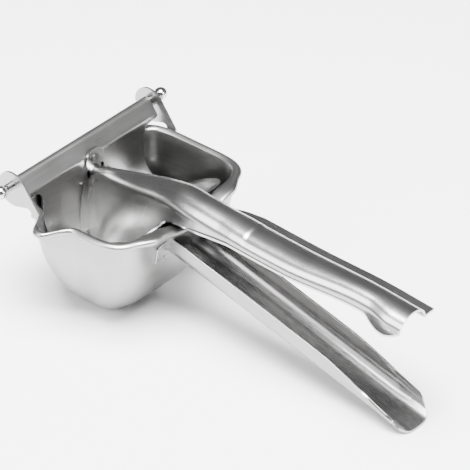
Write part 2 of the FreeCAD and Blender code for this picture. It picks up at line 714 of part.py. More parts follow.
def tongue_rivet():
    """Tubular rivet through the plate and the tongue, with a low head on each side."""
    face = ROD_X + PLATE_SETOUT
    axis = vec(1, 0, 0)
    height = ROD_Z - TONGUE_DROP
    shank = Part.makeCylinder(RIVET_DIAMETER / 2 - RIVET_GAP, SHEET + HANDLE_SHEET, vec(face - SHEET, 0, height), axis)
    front = Part.makeCylinder(RIVET_HEAD / 2, 0.6, vec(face + HANDLE_SHEET, 0, height), axis)
    back = Part.makeCylinder(RIVET_TAIL / 2, 0.6, vec(face - SHEET - 0.6, 0, height), axis)
    rivet = shank.fuse(front).fuse(back).removeSplitter()
    hollow = Part.makeCylinder(RIVET_HOLLOW / 2, HANDLE_SHEET + 0.6, vec(face, 0, height), axis)
    return rivet.cut(hollow)


def weld_plug(side):
    """Plug weld that fills a hole in a root flange."""
    face = ROD_X + PLATE_SETOUT
    y = side * (ROOT_WIDTH / 2 + ROOT_FLANGE_WIDTH * 0.45)
    centre = vec(face, y, ROD_Z - PLATE_UPRIGHT + 3.0)
    return Part.makeCylinder(WELD_DIAMETER / 2, HANDLE_SHEET, centre, vec(1, 0, 0))


def upper_handle_welds():
    return Part.makeCompound([weld_plug(-1), weld_plug(1)])


# ---- lower handle ------------------------------------------------------------------------------------------

def channel_section(x):
    """Points across the lower handle's outer face at a place, from one wall's top to the other's."""
    end = ROD_X + CHANNEL_REACH
    low_floor = TIP_CLEARANCE
    first_floor = ROD_Z - CHANNEL_DROP - CHANNEL_HEIGHT
    share = (x - MOUTH_HALF_LENGTH) / (end - MOUTH_HALF_LENGTH)
    floor = first_floor + (low_floor - first_floor) * share
    scoop = ease(x, end - SCOOP_FALL, end)
    height = CHANNEL_HEIGHT + (SCOOP_HEIGHT - CHANNEL_HEIGHT) * scoop
    half = CHANNEL_WIDTH / 2
    flare = CHANNEL_FLARE * ease(x, end - SCOOP_FALL, end)
    corner = min(CHANNEL_CORNER, height - HEM)
    points = []
    for step in range(WALL_STEPS):
        down = step / WALL_STEPS
        points.append(vec(x, -half - flare * (1 - down), floor + height + (corner - height) * down))
    for step in range(CORNER_STEPS):
        angle = math.pi / 2 * step / CORNER_STEPS
        y = half - CHANNEL_CORNER + CHANNEL_CORNER * math.cos(angle)
        points.append(vec(x, -y, floor + corner * (1 - math.sin(angle))))
    flat = half - CHANNEL_CORNER
    for step in range(5):
        points.append(vec(x, flat * (step / 2 - 1), floor))
    mirrored = [vec(x, -point.y, point.z) for point in reversed(points[:-5])]
    return points + mirrored


def lower_reach(y):
    """Where the lower handle ends: half an ellipse."""
    half = CHANNEL_WIDTH / 2 + CHANNEL_FLARE + HEM
    return ROD_X + CHANNEL_REACH - SCOOP_LENGTH * (1 - (1 - abs(y / half) ** 3) ** (1 / 3))


def channel():
    """The bent channel itself, from inside the bowl's front wall to the scooped end."""
    start = MOUTH_HALF_LENGTH - CHANNEL_HEIGHT
    end = ROD_X + CHANNEL_REACH
    stations = [start + (end - start) * step / 24 for step in range(25)]
    grid = [tailed(channel_section, x, end - 2 * SCOOP_LENGTH, end, lower_reach) for x in stations]
    return sheet(grid, thicken(grid, HANDLE_SHEET))


def flange(side, block):
    """Flange of the lower handle, pressed to the shape of the bowl's front wall."""
    top = ROD_Z - CHANNEL_DROP
    columns = 8
    rows = 8
    grid = []
    for column in range(columns + 1):
        share = column / columns
        y = side * (CHANNEL_WIDTH / 2 - HANDLE_SHEET / 2 + FLANGE_WIDTH * share)
        high = top - FLANGE_TAPER * share ** 3
        low = top - FLANGE_HEIGHT + FLANGE_TAPER * share ** 3
        strip = []
        for row in range(rows + 1):
            z = low + (high - low) * row / rows
            strip.append(vec(front_wall(y, z), y, z))
        grid.append(strip)
    outer = thicken(grid, side * HANDLE_SHEET)
    inner = thicken(grid, -side * FLANGE_TRIM)
    return sheet(outer, inner).cut(block)


def weld_bar(side, drop):
    """Place of one plug weld through a flange of the lower handle."""
    y = side * (CHANNEL_WIDTH / 2 + FLANGE_WIDTH * 0.45)
    start = vec(MOUTH_HALF_LENGTH / 2, y, ROD_Z - CHANNEL_DROP - drop)
    return Part.makeCylinder(WELD_DIAMETER / 2, MOUTH_HALF_LENGTH, start, vec(1, 0, 0))


def lower_handle():
    """The channel with its two flanges, and the plug welds that hold the flanges on the bowl."""
    block = bowl_block()
    handle = channel().cut(block)
    plugs = []
    for side in (-1, 1):
        plate = flange(side, block)
        for share in (0.33, 0.72):
            bar = weld_bar(side, FLANGE_HEIGHT * share)
            plugs.append(plate.common(bar))
            plate = plate.cut(bar)
        handle = handle.fuse(plate)
    return handle, Part.makeCompound(plugs)


if __name__ == "__main__":
    os.makedirs(OUT, exist_ok=True)
    basin = bowl()
    save("bowl", basin)
    save("ear_left", ear(-1, basin))
    save("ear_right", ear(1, basin))
    save("hinge_rod", hinge_rod())
    save("ball_nut", ball_nut())
    plate = press_plate().cut(rivet_hole())
    save("press_plate", plate)
    save("tongue_rivet", tongue_rivet())
    save("upper_handle", upper_handle())
    save("upper_handle_welds", upper_handle_welds())
    channel_part, plugs = lower_handle()
    save("lower_handle", channel_part)
    save("lower_handle_welds", plugs)
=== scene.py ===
"""Looks of a hand fruit press in stainless steel sheet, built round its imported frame.

Sizes inside the classes are in millimetres in the frame's own axes: +Z up, +X from the hinge towards the free
ends of the handles, +Y along the hinge rod. Meshes are written in metres.
"""

import logging
import math
from dataclasses import dataclass, field
from enum import Enum
from typing import Callable, Sequence, Union

import bmesh
import bpy
import numpy as np
from mathutils import Matrix, Vector


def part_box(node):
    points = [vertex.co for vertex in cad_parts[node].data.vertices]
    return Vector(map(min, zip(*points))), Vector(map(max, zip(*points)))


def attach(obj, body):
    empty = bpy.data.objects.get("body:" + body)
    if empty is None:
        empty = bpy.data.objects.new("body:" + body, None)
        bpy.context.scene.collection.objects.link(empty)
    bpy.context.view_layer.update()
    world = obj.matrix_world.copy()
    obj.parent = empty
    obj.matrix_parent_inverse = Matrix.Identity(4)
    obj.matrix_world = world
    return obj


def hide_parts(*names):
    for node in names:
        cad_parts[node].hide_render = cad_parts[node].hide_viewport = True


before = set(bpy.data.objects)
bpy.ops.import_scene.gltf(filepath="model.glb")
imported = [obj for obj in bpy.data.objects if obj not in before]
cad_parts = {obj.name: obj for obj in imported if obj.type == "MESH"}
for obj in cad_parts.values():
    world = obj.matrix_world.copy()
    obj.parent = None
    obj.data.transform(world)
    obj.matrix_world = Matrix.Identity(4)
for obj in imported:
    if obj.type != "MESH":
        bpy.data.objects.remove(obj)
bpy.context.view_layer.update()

LOG = logging.getLogger("fruit_press")
MM = 0.001
MICROMETRE = 1e-6
SHARP_ANGLE = math.radians(40)
BEVEL_ANGLE = math.radians(50)
BROKEN_EDGE = 0.25
DISH_END = 14.0
FLOOR_EDGE = 6.0
FLOOR_TONE = (0.9, 0.9, 0.9, 1.0)
WORLD_STRENGTH = 0.22
LIGHT_AIM = (0.03, 0.0, 0.04)
LIGHTS = (("top_light", (0.2, -0.2, 1.4), (1.0, 0.8), 150.0),
          ("left_light", (-0.5, -1.2, 0.9), (0.5, 0.9), 24.0),
          ("right_light", (1.3, 0.2, 0.8), (0.4, 0.9), 20.0))

Array = np.ndarray
Number = Union[int, float]
Curve = Callable[[float], float]


# plain geometry

def ease(value: Array, start: float, end: float) -> Array:
    """Smooth step.

    Args:
        value: Places to read it at.
        start: Where it leaves 0.
        end: Where it reaches 1.

    Returns:
        The step at each place.
    """
    t = np.clip((np.asarray(value, float) - start) / (end - start), 0.0, 1.0)
    return t * t * (3 - 2 * t)


def lengths_along(points: Array) -> Array:
    """Running length along a polyline, starting at 0."""
    steps = np.linalg.norm(np.diff(points, axis=0), axis=1)
    return np.concatenate([[0.0], np.cumsum(steps)])


def respace(points: Array, count: int, closed: bool = False) -> Array:
    """The same line with its points an equal distance apart.

    Args:
        points: Polyline, one row per point.
        count: How many points to return.
        closed: True if the line runs back to its start, which isn't repeated.

    Returns:
        The new points.
    """
    if closed:
        points = np.vstack([points, points[:1]])
    lengths = lengths_along(points)
    targets = np.linspace(0.0, lengths[-1], count, endpoint=not closed)
    return np.stack([np.interp(targets, lengths, points[:, k]) for k in range(points.shape[1])], axis=1)


def soften(points: Array, radius: float) -> Array:
    """Rounds the folds of an evenly spaced line, leaving its ends in place.

    Args:
        points: Evenly spaced polyline.
        radius: About the radius that a fold gets.

    Returns:
        The softened line.
    """
    step = np.linalg.norm(points[1] - points[0]) or 1.0
    reach = max(1, int(round(radius / step)))
    kernel = np.hanning(2 * reach + 3)[1:-1]
    kernel /= kernel.sum()
    before = 2 * points[0] - points[reach:0:-1]
    after = 2 * points[-1] - points[-2:-reach - 2:-1]
    padded = np.vstack([before, points, after])
    return np.stack([np.convolve(padded[:, k], kernel, "valid") for k in range(points.shape[1])], axis=1)


def spline(points: Array, first: Sequence[float], last: Sequence[float], count: int) -> Array:
    """A smooth curve through points, with its direction given at both ends.

    Args:
        points: Points that it goes through.
        first: Direction at the first point.
        last: Direction at the last point.
        count: How many evenly spaced points to return.

    Returns:
        Points along the curve.
    """
    points = np.asarray(points, float)
    lengths = lengths_along(points)
    spans = np.diff(lengths)
    size = len(points)
    matrix = np.zeros((size, size))
    right = np.zeros_like(points)
    matrix[0, 0] = matrix[-1, -1] = 1.0
    right[0] = np.asarray(first, float) / np.linalg.norm(first)
    right[-1] = np.asarray(last, float) / np.linalg.norm(last)
    for i in range(1, size - 1):
        before, after = spans[i - 1], spans[i]
        matrix[i, i - 1:i + 2] = after, 2 * (before + after), before
        right[i] = 3 * (after * (points[i] - points[i - 1]) / before + before * (points[i + 1] - points[i]) / after)
    slopes = np.linalg.solve(matrix, right)
    pieces = []
    for i, span in enumerate(spans):
        t = np.linspace(0, 1, 40, endpoint=i == size - 2)[:, None]
        pieces.append((2 * t ** 3 - 3 * t ** 2 + 1) * points[i] + (t ** 3 - 2 * t ** 2 + t) * span * slopes[i]
                      + (3 * t ** 2 - 2 * t ** 3) * points[i + 1] + (t ** 3 - t ** 2) * span * slopes[i + 1])
    return respace(np.vstack(pieces), count)


def guide(stations: Sequence[tuple[float, float]]) -> Curve:
    """A smooth value along a length.

    Args:
        stations: Pairs of place and value.

    Returns:
        A function from a place to its value.
    """
    places = [place for place, _ in stations]
    values = [value for _, value in stations]
    slopes = []
    for i in range(len(stations)):
        low, high = max(i - 1, 0), min(i + 1, len(stations) - 1)
        slopes.append((values[high] - values[low]) / (places[high] - places[low]))

    def at(place: float) -> float:
        """The value at a place."""
        place = min(max(place, places[0]), places[-1])
        i = 0
        while i < len(places) - 2 and place > places[i + 1]:
            i += 1
        span = places[i + 1] - places[i]
        t = (place - places[i]) / span
        bend = span * t * (1 - t) * ((1 - t) * slopes[i] - t * slopes[i + 1])
        return values[i] + t * t * (3 - 2 * t) * (values[i + 1] - values[i]) + bend
    return at


def grid_normals(grid: Array) -> Array:
    """Unit normals of a grid of points.

    Args:
        grid: Rows and columns of points.

    Returns:
        Normals by the right hand from its rows to its columns.
    """
    along = np.gradient(grid, axis=0)
    across = np.gradient(grid, axis=1)
    normals = np.cross(along, across)
    return normals / np.maximum(np.linalg.norm(normals, axis=2, keepdims=True), 1e-9)


def front_normals(grid: Array) -> Array:
    """Unit normals of a grid, each turned so that it points to the front, +X."""
    normals = grid_normals(grid)
    return normals * np.where(normals[:, :, :1] > 0, 1.0, -1.0)


def put(name: str, data: bpy.types.ID) -> bpy.types.Object:
    """Puts an object with this data into the scene, at the origin."""
    thing = bpy.data.objects.new(name, data)
    bpy.context.scene.collection.objects.link(thing)
    return thing


# meshes

@dataclass
class MeshMaker:
    """Collects closed shells of one piece, with sheet coordinates and a mark for cut edges."""

    points: list[Array] = field(default_factory=list)
    flow: list[Array] = field(default_factory=list)
    # the edge mark is 1 on cut edges and -1 where shade is painted into the colour
    edge: list[Array] = field(default_factory=list)
    faces: list[tuple[int, ...]] = field(default_factory=list)

    def add_points(self, points: Array, flow: Array, edge: Array) -> int:
        """Adds a block of points.

        Args:
            points: Points in millimetres.
            flow: Sheet coordinates of each, in metres.
            edge: Cut-edge mark of each; below zero it marks where shade is painted into the colour.

        Returns:
            The number of the first point.
        """
        first = sum(len(block) for block in self.points)
        self.points.append(points.reshape(-1, 3))
        self.flow.append(flow.reshape(-1, 2))
        self.edge.append(edge.reshape(-1))
        return first

    def add_pair(self, face: Array, back: Array) -> None:
        """Adds a solid between two matching grids.

        Args:
            face: Grid of points on one face.
            back: Grid of points on the other.
        """
        rows, columns = face.shape[:2]
        down = np.cumsum(np.concatenate([np.zeros((1, columns)),
                                         np.linalg.norm(np.diff(face, axis=0), axis=2)]), axis=0)
        over = np.cumsum(np.concatenate([np.zeros((rows, 1)),
                                         np.linalg.norm(np.diff(face, axis=1), axis=2)], axis=1), axis=1)
        over -= over[:, columns // 2:columns // 2 + 1]
        flow = np.stack([down, over], axis=2) * MM
        cut = np.zeros((rows, columns))
        cut[0] = cut[-1] = 1.0
        cut[:, 0] = cut[:, -1] = 1.0
        top = self.add_points(face, flow, cut)
        low = self.add_points(back, flow, cut)
        for i in range(rows - 1):
            for j in range(columns - 1):
                a, b = i * columns + j, i * columns + j + 1
                c, d = b + columns, a + columns
                self.faces.append((top + a, top + d, top + c, top + b))
                self.faces.append((low + a, low + b, low + c, low + d))
        border = list(range(columns))
        border += [i * columns + columns - 1 for i in range(1, rows)]
        border += [(rows - 1) * columns + j for j in range(columns - 2, -1, -1)]
        border += [i * columns for i in range(rows - 2, 0, -1)]
        for a, b in zip(border, border[1:] + border[:1]):
            self.faces.append((top + a, top + b, low + b, low + a))

    def add_rings(self, rings: Sequence[Array], edge: Sequence[float]) -> None:
        """Adds a closed shell through rings of points, capped by a point at each end.

        Args:
            rings: Closed rings with the same number of points.
            edge: Cut-edge mark of each ring; -1 marks rings whose colour gets painted shade.
        """
        count = len(rings[0])
        run = np.concatenate([[0.0], np.cumsum([np.linalg.norm(b - a, axis=1).mean()
                                                for a, b in zip(rings, rings[1:])])])
        starts = []
        for ring, place, mark in zip(rings, run, edge):
            turned = lengths_along(np.vstack([ring, ring[:1]]))[:-1]
            flow = np.stack([np.full(count, place), turned], axis=1) * MM
            starts.append(self.add_points(ring, flow, np.full(count, mark)))
        for a, b in zip(starts, starts[1:]):
            for j in range(count):
                k = (j + 1) % count
                self.faces.append((a + j, a + k, b + k, b + j))
        for end in (0, -1):
            start = starts[end]
            pole = self.add_points(rings[end].mean(axis=0)[None], np.zeros((1, 2)), np.full(1, edge[end]))
            for j in range(count):
                self.faces.append((start + j, start + (j + 1) % count, pole))

    def add_lathe(self, profile: Sequence[tuple[float, float]], centre: Sequence[float], turns: int = 48) -> None:
        """Adds a turned solid about an axis along Y.

        Args:
            profile: Pairs of radius and place along the axis, open at both ends.
            centre: Point of the axis that the places count from.
            turns: Sides of each ring.
        """
        angles = np.linspace(0, 2 * math.pi, turns, endpoint=False)
        rings = []
        for radius, place in profile:
            rings.append(np.stack([centre[0] + radius * np.cos(angles), np.full(turns, centre[1] + place),
                                   centre[2] + radius * np.sin(angles)], axis=1))
        self.add_rings(rings, [0.0] * len(rings))

    def finish(self, name: str, finish: "SteelFinish", bevel: float = 0.0) -> bpy.types.Object:
        """Makes the object.

        Args:
            name: Name of the piece.
            finish: Its finish.
            bevel: Width in millimetres by which its sharp edges are broken.

        Returns:
            The object, at the origin.
        """
        mesh = bpy.data.meshes.new(name)
        points = np.vstack(self.points) * MM
        mesh.from_pydata(points.tolist(), [], self.faces)
        flow = np.vstack(self.flow)
        layer = mesh.uv_layers.new(name="flow")
        loops = np.zeros(len(mesh.loops), np.int64)
        mesh.loops.foreach_get("vertex_index", loops)
        layer.data.foreach_set("uv", flow[loops].astype(np.float32).ravel())
        # this mark is 1 on cut edges and, below zero, the mask for painted shade inside the bowl
        mark = mesh.attributes.new("cut_edge_and_inner_shade", "FLOAT", "POINT")
        mark.data.foreach_set("value", np.concatenate(self.edge).astype(np.float32))
        edit = bmesh.new()
        edit.from_mesh(mesh)
        bmesh.ops.recalc_face_normals(edit, faces=edit.faces)
        edit.to_mesh(mesh)
        edit.free()
        mesh.shade_smooth()
        mesh.set_sharp_from_angle(angle=SHARP_ANGLE)
        mesh.materials.append(finish.material())
        piece = put(name, mesh)
        if bevel:
            rounding = piece.modifiers.new("broken_edges", "BEVEL")
            rounding.width = bevel * MM
            rounding.segments = 2
            rounding.limit_method = "ANGLE"
            rounding.angle_limit = BEVEL_ANGLE
            rounding.use_clamp_overlap = True
            rounding.harden_normals = True
        return piece


# shader maths

Value = Union["Wire", Number]


class Wire:
    """A shader value that can be used in plain arithmetic."""

    def __init__(self, shader: "Shader", socket: bpy.types.NodeSocket) -> None:
        """Wraps an output socket of a shader's node."""
        self.shader = shader
        self.socket = socket

    def maths(self, operation: str, *values: "Value") -> "Wire":
        """One Math node on these values."""
        return self.shader.node("ShaderNodeMath", {"operation": operation}, dict(enumerate(values)))

    def __add__(self, other: "Value") -> "Wire":
        """Sum."""
        return self.maths("ADD", self, other)

    def __sub__(self, other: "Value") -> "Wire":
        """Difference."""
        return self.maths("SUBTRACT", self, other)

    def __mul__(self, other: "Value") -> "Wire":
        """Product."""
        return self.maths("MULTIPLY", self, other)

    def band(self, low: float, high: float) -> "Wire":
        """Rises from 0 to 1 between two values."""
        return self.shader.node("ShaderNodeMapRange", {"interpolation_type": "SMOOTHSTEP"},
                                {"Value": self, "From Min": low, "From Max": high})


class Shader:
    """Node tree of one material."""

    def __init__(self, name: str) -> None:
        """Makes an empty material with its output node."""
        self.material = bpy.data.materials.new(name)
        self.material.use_nodes = True
        self.tree = self.material.node_tree
        self.tree.nodes.clear()
        self.column = 0

    def node(self, kind: str, settings: dict[str, object] | None = None,
             values: dict[Union[str, int], object] | None = None, output: Union[str, int] = 0) -> Wire | None:
        """Adds a node.

        Args:
            kind: Blender's type of it.
            settings: Its own properties, set first.
            values: What its inputs get, a value or a wire.
            output: Which output to return.

        Returns:
            That output.
        """
        node = self.tree.nodes.new(kind)
        self.column += 1
        node.location = (self.column * 180 - 3000, -(self.column % 5) * 160)
        for name, value in (settings or {}).items():
            setattr(node, name, value)
        for name, value in (values or {}).items():
            if isinstance(value, Wire):
                self.tree.links.new(value.socket, node.inputs[name])
            else:
                node.inputs[name].default_value = value
        return Wire(self, node.outputs[output]) if len(node.outputs) else None

    def noise(self, vector: Wire, stretch: tuple[float, float, float], detail: float) -> Wire:
        """Noise of a vector that is stretched first."""
        mapped = self.node("ShaderNodeMapping", {"vector_type": "POINT"}, {"Vector": vector, "Scale": stretch})
        return self.node("ShaderNodeTexNoise", {"noise_dimensions": "3D"},
                         {"Vector": mapped, "Scale": 1.0, "Detail": detail, "Roughness": 0.55}, "Fac")


# how far each noise is squeezed along its three axes
DRIFT_STRETCH = (38.0, 38.0, 38.0)
SMEAR_STRETCH = (140.0, 90.0, 210.0)
SCRATCH_STRETCH = (420.0, 21.0, 9.0)
CROSS_STRETCH = (33.0, 380.0, 14.0)
GRAIN_DEPTH_STRETCH = 40.0

# what noise, scratches and cut edges do to tone, roughness and height (in micrometres)
TONE_SWING, SCRATCH_TONE, EDGE_TONE = 0.10, 0.03, 0.10
ROUGH_SWING, SCRATCH_ROUGH, EDGE_ROUGH = 0.10, 0.06, 0.06
DRIFT_HEIGHT, SCRATCH_HEIGHT = 6.0, 1.5


class Grain(Enum):
    """How the lines of a finish run over the sheet, as the stretch of their noise down and across it."""

    ALONG = (18.0, 2600.0)
    ACROSS = (2600.0, 18.0)
    FINE = (60.0, 900.0)
    NONE = (150.0, 150.0)


@dataclass(frozen=True)
class SteelFinish:
    """Stainless steel as it leaves the press shop.

    Attributes:
        name: Name of the finish and of its material.
        tone: Reflected share of light.
        warmth: Share by which red exceeds blue.
        roughness: Middle of its roughness.
        grain: How its lines run.
        grain_depth: How deep they are, in micrometres.
        cloud: How far roughness drifts over some centimetres.
        scratch: Strength of stray fine scratches.
        flow: True where the piece carries sheet coordinates.
        painted_inner_shade: Painted shade: how much darker the inside of a vessel is coloured where its mark is
            below zero.
    """

    name: str
    tone: float
    roughness: float
    grain: Grain = Grain.ALONG
    grain_depth: float = 1.0
    cloud: float = 0.06
    scratch: float = 0.5
    warmth: float = 0.005
    flow: bool = True
    painted_inner_shade: float = 0.0

    def material(self) -> bpy.types.Material:
        """The material, made once and then shared."""
        made = bpy.data.materials.get(self.name)
        return made or self.build()

    def build(self) -> bpy.types.Material:
        """Builds the node tree of the finish.

        Returns:
            The new material.
        """
        shader = Shader(self.name)
        place = shader.node("ShaderNodeTexCoord", output="Object")
        sheet = shader.node("ShaderNodeUVMap", {"uv_map": "flow"}) if self.flow else place
        drift = shader.noise(place, DRIFT_STRETCH, 3.0)
        smear = shader.noise(place, SMEAR_STRETCH, 4.0)
        lines = shader.noise(sheet, (*self.grain.value, GRAIN_DEPTH_STRETCH), 5.0)
        stray = shader.noise(sheet, SCRATCH_STRETCH, 2.0).band(0.66, 0.74)
        stray = stray + shader.noise(sheet, CROSS_STRETCH, 2.0).band(0.68, 0.76)
        # the mark is 1 on cut edges and -1 on the bowl's inside, the mask for painted shade
        mark = shader.node("ShaderNodeAttribute", {"attribute_name": "cut_edge_and_inner_shade"}, output="Fac")
        edge = mark.band(0.25, 1.0)
        shade = (drift - 0.5) * TONE_SWING + (lines - 0.5) * TONE_SWING + self.tone
        shade = shade - stray * SCRATCH_TONE * self.scratch + edge * EDGE_TONE
        # painted shade: the inside of the bowl, marked below zero, is darkened in colour in place of the shade and
        # dark reflections it gets
        shade = shade - (mark * -1.0).band(0.0, 1.0) * self.painted_inner_shade
        light = shader.node("ShaderNodeCombineColor", {},
                            {"Red": shade * (1 + self.warmth), "Green": shade, "Blue": shade * (1 - self.warmth)})
        rough = (drift - 0.5) * (2 * self.cloud) + (smear - 0.5) * self.cloud
        rough = rough + (lines - 0.5) * ROUGH_SWING + self.roughness
        rough = rough + stray * SCRATCH_ROUGH * self.scratch - edge * EDGE_ROUGH
        height = lines * self.grain_depth + drift * DRIFT_HEIGHT - stray * SCRATCH_HEIGHT * self.scratch
        bump = shader.node("ShaderNodeBump", {}, {"Strength": 1.0, "Distance": MICROMETRE, "Height": height})
        metal = shader.node("ShaderNodeBsdfPrincipled", {},
                            {"Base Color": light, "Metallic": 1.0, "Roughness": rough, "Normal": bump})
        shader.node("ShaderNodeOutputMaterial", {}, {"Surface": metal})
        return shader.material


# the bowl's finish darkens the colour of its inside by 0.09 as painted shade
BOWL_FINISH = SteelFinish("bowl_satin", 0.30, 0.32, Grain.ACROSS, 1.0, painted_inner_shade=0.09)
PLATE_FINISH = SteelFinish("plate_satin", 0.35, 0.30, Grain.ACROSS, 0.8, 0.04, 0.6)
GRIP_FINISH = SteelFinish("grip_polish", 0.36, 0.24, Grain.ALONG, 0.6, 0.03, 0.5)
CHANNEL_FINISH = SteelFinish("channel_satin", 0.27, 0.28, Grain.ALONG, 0.8, 0.025, 0.5)
ROD_FINISH = SteelFinish("rod_polish", 0.55, 0.14, Grain.FINE, 0.4, 0.03, 0.3)
EAR_FINISH = SteelFinish("ear_satin", 0.30, 0.30, Grain.NONE, 0.6, 0.05, 0.4, flow=False)
WELD_FINISH = SteelFinish("weld_burnt", 0.16, 0.42, Grain.NONE, 4.0, 0.10, 0.2, 0.03, flow=False)


# sizes

def box_mm(node: str) -> tuple[Vector, Vector]:
    """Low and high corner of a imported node, in millimetres."""
    low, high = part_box(node)
    return Vector(low) / MM, Vector(high) / MM


@dataclass(frozen=True)
class PressSizes:
    """Sizes that several sub-assemblies share, in millimetres, read from the frame's boxes."""

    rod_x: float
    rod_z: float
    rim_z: float
    mouth_x: float
    mouth_y: float
    grip_end: float
    channel_end: float
    bead: float = 4.5
    bead_height: float = 3.8
    band: float = 8.5
    wall: float = 1.2
    sheet: float = 1.0
    setout: float = 7.4
    upright: float = 21.0
    rim_gap: float = 3.0
    dip: float = 4.0

    @classmethod
    def from_frame(cls) -> "PressSizes":
        """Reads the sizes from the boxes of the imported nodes."""
        rod_low, rod_high = box_mm("hinge_rod")
        bowl_high = box_mm("bowl")[1]
        return cls(rod_x=(rod_low.x + rod_high.x) / 2, rod_z=(rod_low.z + rod_high.z) / 2, rim_z=bowl_high.z,
                   mouth_x=bowl_high.x - cls.band, mouth_y=bowl_high.y - cls.bead,
                   grip_end=box_mm("upper_handle")[1].x, channel_end=box_mm("lower_handle")[1].x)

    @property
    def swing(self) -> float:
        """Radius that the dish's front swings on about the rod."""
        return self.mouth_x - self.rod_x - self.rim_gap

    def swing_point(self, radius: float, angle: float) -> Array:
        """Point on a circle about the rod.

        Args:
            radius: Radius of the circle.
            angle: Degrees below the horizontal.

        Returns:
            The point (x, z).
        """
        turn = math.radians(angle)
        return np.array([self.rod_x + radius * math.cos(turn), self.rod_z - radius * math.sin(turn)])


# bowl

